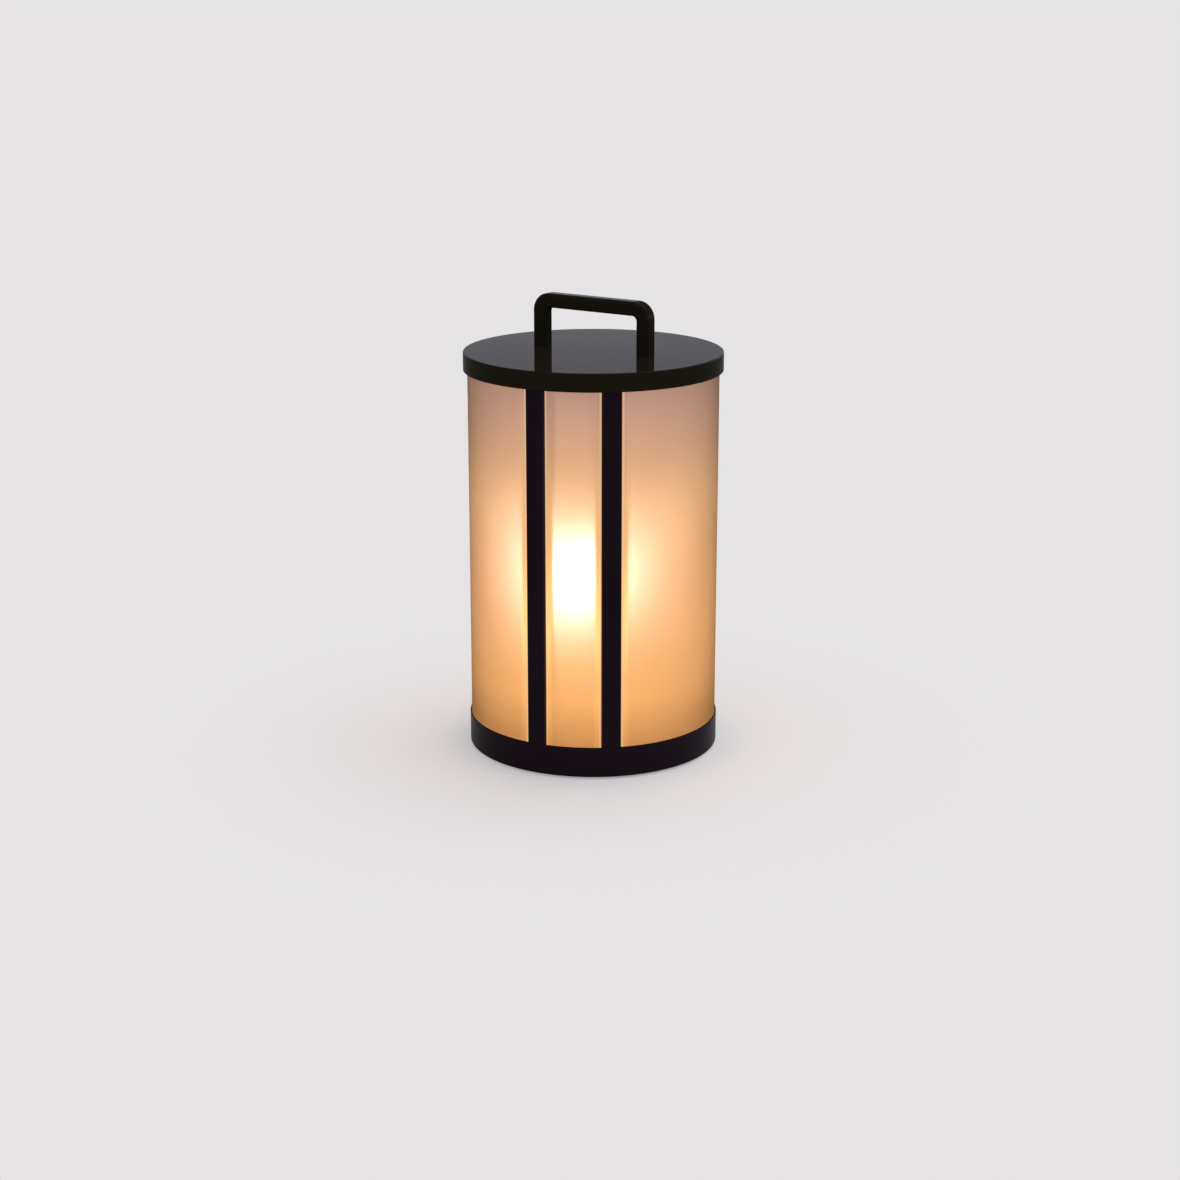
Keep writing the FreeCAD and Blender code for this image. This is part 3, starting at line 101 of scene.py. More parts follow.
class Board:
    """Places and joins the nodes of one node tree."""

    # The Mix node's sockets for colours: factor, first and second, and the result.
    MIX_IN = (0, 6, 7)
    MIX_OUT = 2

    def __init__(self, tree: bpy.types.NodeTree) -> None:
        """Starts on an empty tree.

        Args:
            tree: The node tree to fill.
        """
        self.tree = tree
        self.tree.nodes.clear()

    @classmethod
    def for_material(cls, name: str) -> tuple["Board", bpy.types.Material]:
        """Makes a material and a board on its nodes.

        Args:
            name: The material's name.

        Returns:
            The board and the material.
        """
        material = bpy.data.materials.new(name)
        material.use_nodes = True
        return cls(material.node_tree), material

    def add(self, kind: str, inputs: dict[Union[str, int], Value], **settings: object) -> bpy.types.Node:
        """Adds a node.

        Args:
            kind: The node's type, without its usual prefix.
            inputs: A value or a socket for each input that isn't left alone.
            settings: The node's own settings.

        Returns:
            The node.
        """
        node = self.tree.nodes.new(f"ShaderNode{kind}")
        for key, value in settings.items():
            setattr(node, key, value)
        for key, value in inputs.items():
            if isinstance(value, bpy.types.NodeSocket):
                self.tree.links.new(value, node.inputs[key])
            else:
                node.inputs[key].default_value = value
        return node

    def place(self, stretch: Sequence[float] = (1.0, 1.0, 1.0)) -> bpy.types.NodeSocket:
        """Reads where a point of the surface is on the lamp, in metres.

        Args:
            stretch: How much finer the pattern runs along each axis.

        Returns:
            The place.
        """
        place = self.add("TexCoord", {}).outputs["Object"]
        return self.add("Mapping", {"Vector": place, "Scale": stretch}).outputs["Vector"]

    def maths(self, operation: str, *values: Value) -> bpy.types.NodeSocket:
        """Works out one number from one or two.

        Args:
            operation: The operation's name.
            values: The numbers or sockets that go in.

        Returns:
            The result.
        """
        node = self.add("Math", dict(enumerate(values)), operation=operation)
        return node.outputs["Value"]

    def noise(self, place: bpy.types.NodeSocket, scale: float, detail: float = 3.0) -> bpy.types.NodeSocket:
        """Makes soft noise.

        Args:
            place: Where it is read.
            scale: How many lumps there are to a metre.
            detail: How many finer layers it has.

        Returns:
            The noise, about 0 to 1.
        """
        node = self.add("TexNoise", {"Vector": place, "Scale": scale, "Detail": detail})
        return node.outputs["Fac"]

    def span(self, value: Value, start: Ring, end: Ring) -> bpy.types.NodeSocket:
        """Maps one range smoothly to another.

        Args:
            value: What is mapped.
            start: The range that it is read over.
            end: The range that comes out.

        Returns:
            The mapped number.
        """
        node = self.add("MapRange", {
            "Value": value, "From Min": start[0], "From Max": start[1], "To Min": end[0], "To Max": end[1],
        }, interpolation_type="SMOOTHSTEP")
        return node.outputs["Result"]

    def mix(self, factor: Value, first: Value, second: Value, how: str = "MIX") -> bpy.types.NodeSocket:
        """Mixes two colours.

        Args:
            factor: How much of the second.
            first: A colour or a socket.
            second: A colour or a socket.
            how: How they are blended.

        Returns:
            The mixed colour.
        """
        inputs = dict(zip(self.MIX_IN, (factor, first, second)))
        return self.add("Mix", inputs, data_type="RGBA", blend_type=how).outputs[self.MIX_OUT]

    def join(self, factor: Value, first: bpy.types.Node, second: bpy.types.Node) -> bpy.types.Node:
        """Mixes two shaders.

        Args:
            factor: How much of the second.
            first: A shader.
            second: A shader.

        Returns:
            The mixed shader.
        """
        return self.add("MixShader", {0: factor, 1: first.outputs[0], 2: second.outputs[0]})

    def finish(self, shader: bpy.types.Node, output: str = "OutputMaterial") -> None:
        """Joins the last shader to the tree's output.

        Args:
            shader: The last shader.
            output: The kind of output.
        """
        self.add(output, {"Surface": shader.outputs[0]})


def opaque(colour: Colour) -> tuple[float, float, float, float]:
    """Gives a colour its alpha.

    Args:
        colour: Red, green and blue.

    Returns:
        The four numbers.
    """
    return (*colour, 1.0)


@dataclass(frozen=True)
class Finish:
    """A finish of the lamp, and the slot that it fills."""

    name: str
    slot: Slot

    def material(self) -> bpy.types.Material:
        """Returns the material, which is made once."""
        return bpy.data.materials.get(self.name) or self.build()

    def build(self) -> bpy.types.Material:
        """Returns a newly made material."""
        raise NotImplementedError


@dataclass(frozen=True)
class Surface(Finish):
    """Paint, metal, moulding or rubber: two near tones, uneven sheen and a fine relief."""

    dark: Colour
    light: Colour
    roughness: Ring = (0.35, 0.5)
    mottle: float = 25.0
    grain: float = 900.0
    fineness: float = 5.0
    relief: float = 4e-6
    metallic: float = 0.0
    ior: float = 1.45
    run: Grain = Grain.PEEL

    def build(self) -> bpy.types.Material:
        """Returns a newly made material."""
        board, material = Board.for_material(self.name)
        colour = board.mix(board.noise(board.place(), self.mottle), opaque(self.dark), opaque(self.light))
        fine = board.noise(board.place(self.run.value), self.grain, self.fineness)
        bump = board.add("Bump", {"Height": fine, "Distance": self.relief, "Strength": 1.0})
        board.finish(board.add("BsdfPrincipled", {
            "Base Color": colour,
            "Roughness": board.span(fine, MIDDLE, self.roughness),
            "Normal": bump.outputs["Normal"],
            "Metallic": self.metallic,
            "IOR": self.ior,
        }))
        return material


@dataclass(frozen=True)
class FrostedGlass(Finish):
    """Acid-frosted glass that scatters the bulb's light, and carries a painted glow, emitted by the glass,
    that stands in for what the drum throws about.

    The inner wall lets light straight through, so that the frost is met once, on the outside. The skin's
    coat takes more of the glow where it is crossed at a slant, as tinted glass does.
    """

    # Base colours of the skin: darker at the foot as painted shade, bluish at the head as a painted sky
    # reflection.
    painted_shade_low_tint: Colour = (0.2, 0.17, 0.14)
    painted_sky_high_tint: Colour = (0.32, 0.32, 0.41)
    skin_tint: Colour = (0.6, 0.605, 0.62)
    beam: Colour = (1.0, 0.92, 0.95)
    scatter: Colour = (0.13, 0.055, 0.018)
    shares: tuple[float, float, float] = (0.5, 0.2, 0.33)
    skin_ior: float = 1.45
    coat_ior: float = 1.05
    core_ior: float = 1.25
    halo_ior: float = 1.9
    roughness: Ring = (0.42, 0.52)
    coat_roughness: float = 0.5
    grain: float = 2600.0
    fineness: float = 4.0
    relief: float = 5e-6
    veil: tuple[float, Ring] = (14.0, (0.95, 1.05))
    cloud: tuple[float, Ring] = (18.0, (0.96, 1.04))
    # Strength of the painted glow that the glass emits.
    strength: float = 3.5
    # The painted glow's colour up the glass, as emission, from foot to head.
    levels: tuple[tuple[float, Colour], ...] = (
        (0.0, (0.52, 0.21, 0.045)), (0.13, (0.8, 0.36, 0.095)), (0.31, (0.78, 0.375, 0.115)),
        (0.48, (0.71, 0.34, 0.1)), (0.66, (0.64, 0.335, 0.1)), (0.83, (0.44, 0.22, 0.085)),
        (1.0, (0.29, 0.145, 0.085)),
    )
    middle_wall: float = 94.8 * MM
    foot: float = 25.0 * MM
    head: float = 300.0 * MM
    post_angle: float = math.radians(17.3)
    # Painted highlight: a brighter colour along the panes' edges beside the posts.
    edge: Ring = (math.radians(5.9), math.radians(4.9))
    painted_edge_highlight: Colour = (0.95, 0.6, 0.32)
    painted_edge_highlight_share: float = 0.5
    # Painted light over the posts' flanges, strongest at the bulb's height, covering the shadow the flanges
    # cast in the glass.
    flange: Ring = (math.radians(8.6), math.radians(6.6))
    painted_flange_light: Ring = (0.8, 0.22)
    bulb: float = 129.0 * MM
    reach: Ring = (5.0 * MM, 60.0 * MM)

    @staticmethod
    def uneven(board: Board, place: bpy.types.NodeSocket,
               pattern: tuple[float, Ring]) -> bpy.types.NodeSocket:
        """Makes a faint unevenness.

        Args:
            board: The material's nodes.
            place: Where the point is on the lamp.
            pattern: How many lumps there are to a metre, and the range of the factor.

        Returns:
            A factor near 1.
        """
        scale, factor = pattern
        return board.span(board.noise(place, scale), WIDE, factor)

    def by_height(self, board: Board, z: bpy.types.NodeSocket) -> bpy.types.NodeSocket:
        """Reads the painted glow's colour off a ramp from the foot of the glass to its head.

        Args:
            board: The material's nodes.
            z: The point's height.

        Returns:
            The colour.
        """
        height = board.maths("DIVIDE", board.maths("SUBTRACT", z, self.foot), self.head - self.foot)
        ramp = board.add("ValToRGB", {"Fac": height})
        stops = ramp.color_ramp.elements
        for level, colour in self.levels[1:-1]:
            stops.new(level).color = opaque(colour)
        stops[0].color = opaque(self.levels[0][1])
        stops[-1].color = opaque(self.levels[-1][1])
        return ramp.outputs["Color"]

    def glow(self, board: Board, place: bpy.types.NodeSocket) -> bpy.types.NodeSocket:
        """Lays out the painted warm glow, with painted light over the posts' flanges that covers their shadow
        and a painted highlight along the panes' ground edges.

        Args:
            board: The material's nodes.
            place: Where the point is on the lamp.

        Returns:
            The painted glow's colour.
        """
        x, y, z = board.add("SeparateXYZ", {"Vector": place}).outputs
        # Painted glow: emission coloured by height, standing in for the lit drum.
        lit = board.mix(1.0, self.by_height(board, z), self.uneven(board, place, self.cloud), "MULTIPLY")
        turn = board.maths("ARCTAN2", board.maths("ABSOLUTE", x), board.maths("ABSOLUTE", y))
        off_post = board.maths("ABSOLUTE", board.maths("SUBTRACT", turn, self.post_angle))
        off_bulb = board.maths("ABSOLUTE", board.maths("SUBTRACT", z, self.bulb))
        # Painted light over the flanges, strongest near the bulb's height, covering their shadow.
        painted_flange_fill = board.maths("MULTIPLY", board.span(off_post, self.flange, UNIT),
                           board.span(off_bulb, self.reach, self.painted_flange_light))
        lit = board.mix(1.0, lit, board.maths("ADD", painted_flange_fill, 1.0), "MULTIPLY")
        # Painted highlight along the panes' edges beside the posts.
        rim = board.maths("MULTIPLY", board.span(off_post, self.edge, UNIT), self.painted_edge_highlight_share)
        return board.mix(rim, lit, opaque(self.painted_edge_highlight))

    def skin(self, board: Board, place: bpy.types.NodeSocket) -> bpy.types.Node:
        """Makes the frosted skin, whose painted glow is emitted under its coat, over a base colour painted
        darker at the foot and bluish at the head.

        Args:
            board: The material's nodes.
            place: Where the point is on the lamp.

        Returns:
            The shader.
        """
        frost = board.noise(place, self.grain, self.fineness)
        bump = board.add("Bump", {"Height": frost, "Distance": self.relief, "Strength": 1.0})
        _, _, z = board.add("SeparateXYZ", {"Vector": place}).outputs
        # Base colour painted darker at the foot as shade and bluish at the head as sky reflection.
        height = board.span(z, (self.foot, self.head), UNIT)
        painted_height_shade = board.mix(height, opaque(self.painted_shade_low_tint), opaque(self.painted_sky_high_tint))
        return board.add("BsdfPrincipled", {
            "Base Color": board.mix(1.0, painted_height_shade, self.uneven(board, place, self.veil), "MULTIPLY"),
            "Roughness": board.span(frost, MIDDLE, self.roughness),
            "IOR": self.skin_ior,
            "Normal": bump.outputs["Normal"],
            # The skin's emission is painted light, not light of its own.
            "Emission Color": self.glow(board, place),
            "Emission Strength": self.strength,
            "Coat Weight": 1.0,
            "Coat Roughness": self.coat_roughness,
            "Coat IOR": self.coat_ior,
            "Coat Tint": opaque(self.skin_tint),
        })

    def build(self) -> bpy.types.Material:
        """Returns a newly made material."""
        board, material = Board.for_material(self.name)
        place = board.place()
        core, halo = (board.add("BsdfRefraction", {"Color": opaque(self.beam), "Roughness": 1.0, "IOR": ior})
                      for ior in (self.core_ior, self.halo_ior))
        scatter = board.add("BsdfTranslucent", {"Color": opaque(self.scatter)})
        through, diffused, narrow = self.shares
        lobes = board.join(diffused, board.join(narrow, halo, core), scatter)
        frosted = board.join(through, self.skin(board, place), lobes)
        x, y, _ = board.add("SeparateXYZ", {"Vector": place}).outputs
        across = board.maths("ADD", board.maths("MULTIPLY", x, x), board.maths("MULTIPLY", y, y))
        inside = board.maths("LESS_THAN", across, self.middle_wall ** 2)
        board.finish(board.join(inside, frosted, board.add("BsdfTransparent", {})))
        return material


@dataclass(frozen=True)
class Opal(Finish):
    """The lit opal globe of the bulb, brighter towards its crown and its left."""

    dull: Colour = (0.9, 0.88, 0.84)
    clean: Colour = (0.94, 0.92, 0.9)
    mottle: float = 30.0
    roughness: float = 0.35
    light: Colour = (1.0, 0.71, 0.55)
    levels: Ring = (5.0, 18.0)
    heights: Ring = (108.0 * MM, 156.0 * MM)
    sides: Ring = (-24.0 * MM, 24.0 * MM)
    lean: Ring = (1.65, 0.35)

    def build(self) -> bpy.types.Material:
        """Returns a newly made material."""
        board, material = Board.for_material(self.name)
        place = board.place()
        x, _, z = board.add("SeparateXYZ", {"Vector": place}).outputs
        lean = board.span(x, self.sides, self.lean)
        board.finish(board.add("BsdfPrincipled", {
            "Base Color": board.mix(board.noise(place, self.mottle), opaque(self.dull), opaque(self.clean)),
            "Roughness": self.roughness,
            "Emission Color": opaque(self.light),
            "Emission Strength": board.maths("MULTIPLY", lean, board.span(z, self.heights, self.levels)),
        }))
        return material


@dataclass(frozen=True)
class Phosphor(Finish):
    """The lit yellow phosphor of the emitters."""

    dark: Colour = (0.85, 0.62, 0.12)
    light: Colour = (0.95, 0.78, 0.25)
    grain: float = 1500.0
    roughness: float = 0.55
    strength: float = 3.0

    def build(self) -> bpy.types.Material:
        """Returns a newly made material."""
        board, material = Board.for_material(self.name)
        colour = board.mix(board.noise(board.place(), self.grain), opaque(self.dark), opaque(self.light))
        board.finish(board.add("BsdfPrincipled", {
            "Base Color": colour,
            "Roughness": self.roughness,
            "Emission Color": colour,
            "Emission Strength": self.strength,
        }))
        return material


@dataclass(frozen=True)
class CircuitBoard(Finish):
    """Green solder mask over copper tracks, with bright pads."""

    mask: tuple[Colour, Colour] = ((0.012, 0.11, 0.045), (0.01, 0.09, 0.04))
    track: Colour = (0.03, 0.2, 0.08)
    track_scale: float = 180.0
    track_width: float = 0.06
    pad: Colour = (0.72, 0.7, 0.66)
    pad_scale: float = 260.0
    pad_size: float = 0.13
    roughness: Ring = (0.38, 0.25)

    def build(self) -> bpy.types.Material:
        """Returns a newly made material."""
        board, material = Board.for_material(self.name)
        place = board.place()
        tracks = board.add("TexBrick", {
            "Vector": place, "Scale": self.track_scale, "Mortar Size": self.track_width,
            "Color1": opaque(self.mask[0]), "Color2": opaque(self.mask[1]), "Mortar": opaque(self.track),
        })
        dots = board.add("TexVoronoi", {"Vector": place, "Scale": self.pad_scale}).outputs["Distance"]
        pads = board.maths("LESS_THAN", dots, self.pad_size)
        board.finish(board.add("BsdfPrincipled", {
            "Base Color": board.mix(pads, tracks.outputs["Color"], opaque(self.pad)),
            "Metallic": pads,
            "Roughness": board.span(pads, UNIT, self.roughness),
        }))
        return material


@dataclass(frozen=True)
class CellWrap(Finish):
    """Plain blue shrink wrap on the cells, with bare steel at their ends."""

    wrapped: float = 31.4 * MM
    wrap: tuple[Colour, Colour] = ((0.03, 0.16, 0.36), (0.04, 0.2, 0.44))
    steel: Colour = (0.62, 0.62, 0.6)
    mottle: float = 60.0
    grain: float = 500.0
    roughness: Ring = (0.28, 0.4)

    def build(self) -> bpy.types.Material:
        """Returns a newly made material."""
        board, material = Board.for_material(self.name)
        place = board.place()
        x, _, _ = board.add("SeparateXYZ", {"Vector": place}).outputs
        bare = board.maths("GREATER_THAN", board.maths("ABSOLUTE", x), self.wrapped)
        wrap = board.mix(board.noise(place, self.mottle), opaque(self.wrap[0]), opaque(self.wrap[1]))
        board.finish(board.add("BsdfPrincipled", {
            "Base Color": board.mix(bare, wrap, opaque(self.steel)),
            "Metallic": bare,
            "Roughness": board.span(board.noise(place, self.grain), MIDDLE, self.roughness),
        }))
        return material


GLOSS = Surface("gloss black lacquer", Slot.GLOSS_BLACK, (0.009, 0.0075, 0.004), (0.013, 0.011, 0.006),
                roughness=(0.035, 0.06), mottle=12.0, grain=420.0, relief=1.2e-6, ior=1.15)
SATIN = Surface("satin black enamel", Slot.BLACK_ENAMEL, (0.009, 0.0045, 0.0085), (0.0125, 0.0065, 0.012),
                roughness=(0.27, 0.35), mottle=16.0, grain=1100.0, relief=3e-6, ior=1.13)
GLASS = FrostedGlass("frosted glass", Slot.FROSTED_GLASS)
SILICONE = Surface("clear silicone", Slot.SILICONE, (0.72, 0.72, 0.7), (0.8, 0.8, 0.78),
                   roughness=(0.45, 0.6))
FOOT = Surface("foot rubber", Slot.FOOT_RUBBER, (0.018, 0.018, 0.018), (0.03, 0.03, 0.031),
               roughness=(0.7, 0.85), grain=1800.0, relief=1.5e-5)
ZINC = Surface("zinc plate", Slot.ZINC_STEEL, (0.5, 0.5, 0.5), (0.64, 0.64, 0.63), roughness=(0.24, 0.42),
               mottle=70.0, grain=60.0, metallic=1.0, run=Grain.BRUSHED)
DARK_ZINC = Surface("blackened screws", Slot.DARK_SCREWS, (0.09, 0.09, 0.09), (0.14, 0.14, 0.145),
                    roughness=(0.3, 0.45), metallic=1.0)
WHITE_PAINT = Surface("white enamel", Slot.WHITE_ENAMEL, (0.76, 0.76, 0.74), (0.83, 0.83, 0.81))
WHITE_PLASTIC = Surface("white moulding", Slot.WHITE_MOULDING, (0.77, 0.77, 0.75), (0.84, 0.84, 0.82),
                        roughness=(0.38, 0.5), relief=6e-6)
BRASS = Surface("brass contact", Slot.BRASS, (0.66, 0.48, 0.22), (0.78, 0.6, 0.32), roughness=(0.22, 0.36),
                metallic=1.0, run=Grain.TURNED, grain=70.0)
NICKEL = Surface("nickel plate", Slot.NICKEL, (0.6, 0.59, 0.56), (0.7, 0.69, 0.66), roughness=(0.14, 0.24),
                 metallic=1.0, run=Grain.TURNED, grain=60.0)
LED_PLATE = Surface("aluminium board", Slot.ALUMINIUM_BOARD, (0.8, 0.8, 0.81), (0.88, 0.88, 0.89))
PHOSPHOR = Phosphor("led phosphor", Slot.LED_YELLOW)
OPAL = Opal("lit opal globe", Slot.OPAL_DIFFUSER)
WRAP = CellWrap("cell wrap", Slot.CELL_WRAP)
CRADLE = Surface("black moulding", Slot.BLACK_MOULDING, (0.028, 0.028, 0.029), (0.045, 0.045, 0.046),
                 roughness=(0.5, 0.62), relief=8e-6)
CIRCUIT = CircuitBoard("solder mask", Slot.CIRCUIT_BOARD)
COMPONENT = Surface("component black", Slot.COMPONENT_BLACK, (0.02, 0.02, 0.02), (0.035, 0.035, 0.036),
                    roughness=(0.42, 0.6), grain=2200.0)
FLAP_RUBBER = Surface("flap rubber", Slot.FLAP_RUBBER, (0.008, 0.0065, 0.008), (0.0125, 0.0105, 0.0125),
                      roughness=(0.38, 0.5), grain=1600.0, relief=8e-6, ior=1.3)
BUTTON_PLASTIC = Surface("button plastic", Slot.BUTTON_PLASTIC, (0.01, 0.008, 0.01), (0.015, 0.013, 0.015),
                         roughness=(0.1, 0.16))
WIRE = Surface("wire insulation", Slot.WIRE_INSULATION, (0.4, 0.03, 0.025), (0.5, 0.045, 0.035),
               roughness=(0.35, 0.5))

POSTS = ("front_left_post", "front_right_post", "rear_left_post", "rear_right_post")
PANES = ("front_pane", "left_pane", "rear_pane", "right_pane")
WIRES = ("battery_leads", "lamp_leads", "switch_leads")
STEEL = (
    "base_plate", "board_screws", "column_screws", "flap_pin", "handle_screws", "handle_washers", "lock_ring",
    "lock_ring_nuts", "lower_post_screws", "upper_post_screws",
)
DRESS: dict[str, Finish] = {
    **dict.fromkeys(("lid_shell", "handle"), GLOSS),
    **dict.fromkeys(("base_shell", "top_ring", *POSTS), SATIN),
    **dict.fromkeys(PANES, GLASS),
    **dict.fromkeys(("lower_glazing_strips", "upper_glazing_strips", "lid_seal"), SILICONE),
    **dict.fromkeys(STEEL, ZINC),
    **dict.fromkeys(("bulb_neck", "lampholder"), WHITE_PLASTIC),
    **dict.fromkeys(("driver_board", "switch_board"), CIRCUIT),
    **dict.fromkeys(("board_components", "switch_body", "switch_plunger"), COMPONENT),
    **dict.fromkeys(WIRES, WIRE),
    "base_plate_screws": DARK_ZINC,
    "battery_cells": WRAP,
    "battery_cradle": CRADLE,
    "bulb_cap": NICKEL,
    "bulb_globe": OPAL,
    "centre_contact": BRASS,
    "charging_socket": NICKEL,
    "lamp_column": WHITE_PAINT,
    "led_board": LED_PLATE,
    "led_chips": PHOSPHOR,
    "port_flap": FLAP_RUBBER,
    "power_button": BUTTON_PLASTIC,
    "rubber_feet": FOOT,
}


def deselect() -> None:
    """Lets go of every object."""
    bpy.ops.object.select_all(action="DESELECT")


def pick(piece: bpy.types.Object) -> None:
    """Makes one object the only one picked.

    Args:
        piece: The object.
    """
    deselect()
    piece.select_set(True)
    bpy.context.view_layer.objects.active = piece


def settle(piece: bpy.types.Object) -> None:
    """Puts an object's place, turn and size into its mesh.

    Args:
        piece: The object.
    """
    pick(piece)
    bpy.ops.object.transform_apply(location=True, rotation=True, scale=True)


def dress(piece: bpy.types.Object, finish: Finish) -> None:
    """Gives an object one finish all over.

    Args:
        piece: The object.
        finish: Its finish.
    """
    piece.data.materials.clear()
    piece.data.materials.append(finish.material())


def stand_in(piece: bpy.types.Object, finish: Finish, body: Body, node: str) -> None:
    """Dresses a piece that shows in place of a node, and puts it on the node's body.

    Args:
        piece: The new piece.
        finish: Its finish.
        body: The body that carries it.
        node: The node that it stands for.
    """
    dress(piece, finish)
    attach(piece, body.value)
    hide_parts(node)
    LOG.info("made %s for %s", piece.name, node)


@dataclass
class SmoothPiece:
    """A node's own shape with its facets merged, so that curves catch the light evenly."""

    node: str
    finish: Finish
    body: Body = Body.ROOT
    crease: float = math.radians(32.0)
    bevel: float = 0.0
    whole_flats: bool = False
    bevel_steps: int = 3
    sharp: float = math.radians(40.0)
    level: float = math.radians(0.5)
    seam: float = 2e-6
    area_weight: int = 100

    def make(self) -> bpy.types.Object:
        """Returns the smooth piece, on its body."""
        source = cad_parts[self.node]
        pick(source)
        bpy.ops.object.duplicate(linked=False)
        piece = bpy.context.object
        piece.name = f"smooth_{self.node}"
        for key in list(piece.keys()):
            del piece[key]
        piece.parent = None
        piece.matrix_world = Matrix.Identity(4)
        pick(piece)
        bpy.ops.object.mode_set(mode="EDIT")
        bpy.ops.mesh.select_all(action="SELECT")
        bpy.ops.mesh.remove_doubles(threshold=self.seam)
        bpy.ops.object.mode_set(mode="OBJECT")
        bpy.ops.mesh.customdata_custom_splitnormals_clear()
        if self.whole_flats or self.bevel:
            self.merge_flats()
        if self.bevel:
            self.break_edges(piece)
        bpy.ops.object.shade_smooth_by_angle(angle=self.crease)
        even = piece.modifiers.new("even normals", "WEIGHTED_NORMAL")
        even.weight = self.area_weight
        even.keep_sharp = True
        bpy.ops.object.modifier_apply(modifier=even.name)
        stand_in(piece, self.finish, self.body, self.node)
        return piece

    def merge_flats(self) -> None:
        """Makes each flat side of the picked object one face, which keeps its shading flat."""
        bpy.ops.object.mode_set(mode="EDIT")
        bpy.ops.mesh.select_all(action="SELECT")
        bpy.ops.mesh.dissolve_limited(angle_limit=self.level)
        bpy.ops.object.mode_set(mode="OBJECT")

    def break_edges(self, piece: bpy.types.Object) -> None:
        """Rounds the sharp edges a little, as filing and paint do.

        Args:
            piece: The object.
        """
        bevel = piece.modifiers.new("broken edges", "BEVEL")
        bevel.width = self.bevel
        bevel.segments = self.bevel_steps
        bevel.limit_method = "ANGLE"
        bevel.angle_limit = self.sharp
        bpy.ops.object.modifier_apply(modifier=bevel.name)


@dataclass
class Lathe:
    """A round piece drawn up ring by ring from a disc."""

    name: str
    rings: Sequence[Ring]
    sides: int = 96
    crease: float = math.radians(38.0)

    def make(self) -> bpy.types.Object:
        """Returns the closed piece, round the Z axis, in metres from millimetres."""
        radius, height = (size * MM for size in self.rings[0])
        deselect()
        bpy.ops.mesh.primitive_circle_add(vertices=self.sides, radius=radius, fill_type="NGON",
                                          location=(0.0, 0.0, height))
        piece = bpy.context.object
        piece.name = self.name
        settle(piece)
        bpy.ops.object.mode_set(mode="EDIT")
        bpy.ops.mesh.select_all(action="SELECT")
        for next_radius, next_height in ((r * MM, z * MM) for r, z in self.rings[1:]):
            rise = {"value": (0.0, 0.0, next_height - height)}
            bpy.ops.mesh.extrude_region_move(TRANSFORM_OT_translate=rise)
            grow = next_radius / radius
            bpy.ops.transform.resize(value=(grow, grow, 1.0), center_override=(0.0, 0.0, next_height))
            radius, height = next_radius, next_height
        bpy.ops.mesh.select_all(action="SELECT")
        bpy.ops.mesh.fill_holes(sides=0)
        bpy.ops.mesh.normals_make_consistent(inside=False)
        bpy.ops.object.mode_set(mode="OBJECT")
        bpy.ops.object.shade_smooth_by_angle(angle=self.crease)
        return piece


@dataclass
class Cage:
    """The posts, panes, base and inner pieces that stand still."""

    post_bevel: float = 0.5 * MM
    pane_crease: float = math.radians(20.0)
    smooth: tuple[str, ...] = (
        "base_shell", "top_ring", "lid_seal", "bulb_globe", "bulb_neck", "lampholder", "lamp_column",
        "battery_cells", "charging_socket", *WIRES,
    )

    def make(self) -> None:
        """Makes the still pieces."""
        for node in POSTS:
            SmoothPiece(node, SATIN, bevel=self.post_bevel).make()
        for node in PANES:
            SmoothPiece(node, GLASS, crease=self.pane_crease).make()
        for node in self.smooth:
            SmoothPiece(node, DRESS[node]).make()


@dataclass
class Lid:
    """The gloss lid with its band, and the square-bar handle on it."""

    smooth: tuple[str, ...] = ("lid_shell", "handle", "lock_ring")
    flat_topped: str = "lid_shell"
    crease: float = math.radians(60.0)

    def make(self) -> None:
        """Makes the pieces that turn with the lid."""
        for node in self.smooth:
            SmoothPiece(node, DRESS[node], Body.LID, self.crease, whole_flats=node == self.flat_topped).make()


@dataclass
class Feet:
    """Four rubber feet with a rounded rim and a hollow under each."""

    circle: float = 74.0 * MM
    sides: int = 64
    turns: tuple[float, ...] = (90.0, 180.0, 270.0)
    rings: tuple[Ring, ...] = (
        (3.6, 0.55), (4.6, 0.5), (5.1, 0.12), (5.5, 0.0), (7.1, 0.0), (7.6, 0.14), (7.9, 0.42), (8.0, 0.8),
        (8.0, 2.0),
    )

    def make(self) -> None:
        """Makes one foot, copies it round the base and joins the four."""
        first = Lathe("foot_pads", self.rings, self.sides).make()
        feet = [first]
        for turn in self.turns:
            pick(first)
            bpy.ops.object.duplicate(linked=False)
            copy = bpy.context.object
            angle = math.radians(turn)
            copy.location = Vector((math.cos(angle), math.sin(angle), 0.0)) * self.circle
            feet.append(copy)
        first.location = Vector((self.circle, 0.0, 0.0))
        for foot in feet:
            settle(foot)
        deselect()
        for foot in feet:
            foot.select_set(True)
        bpy.context.view_layer.objects.active = first
        bpy.ops.object.join()
        stand_in(first, FOOT, Body.ROOT, "rubber_feet")


@dataclass
class BulbCap:
    """The bulb's cap with its rolled thread."""

    tip: tuple[Ring, ...] = ((4.7, 56.0), (5.0, 56.35), (5.0, 57.5), (11.2, 59.6))
    rim: tuple[Ring, ...] = ((13.0, 76.4), (13.2, 76.8), (13.2, 80.0))
    shoulder: float = 61.4
    root: float = 12.15
    depth: float = 1.0
    pitch: float = 3.6
    turns: int = 4
    # Where each ring of a turn lies: its share of the pitch, and of the thread's depth.
    thread: tuple[Ring, ...] = ((0.15, 0.5), (0.4, 1.0), (0.55, 1.0), (0.8, 0.5), (1.0, 0.0))
    sides: int = 72

    def make(self) -> None:
        """Makes the cap."""
        rings = [*self.tip, (self.root, self.shoulder)]
        for turn in range(self.turns):
            start = self.shoulder + turn * self.pitch
            rings += [(self.root + out * self.depth, start + up * self.pitch) for up, out in self.thread]
        rings += self.rim
        stand_in(Lathe("threaded_cap", rings, self.sides).make(), NICKEL, Body.ROOT, "bulb_cap")


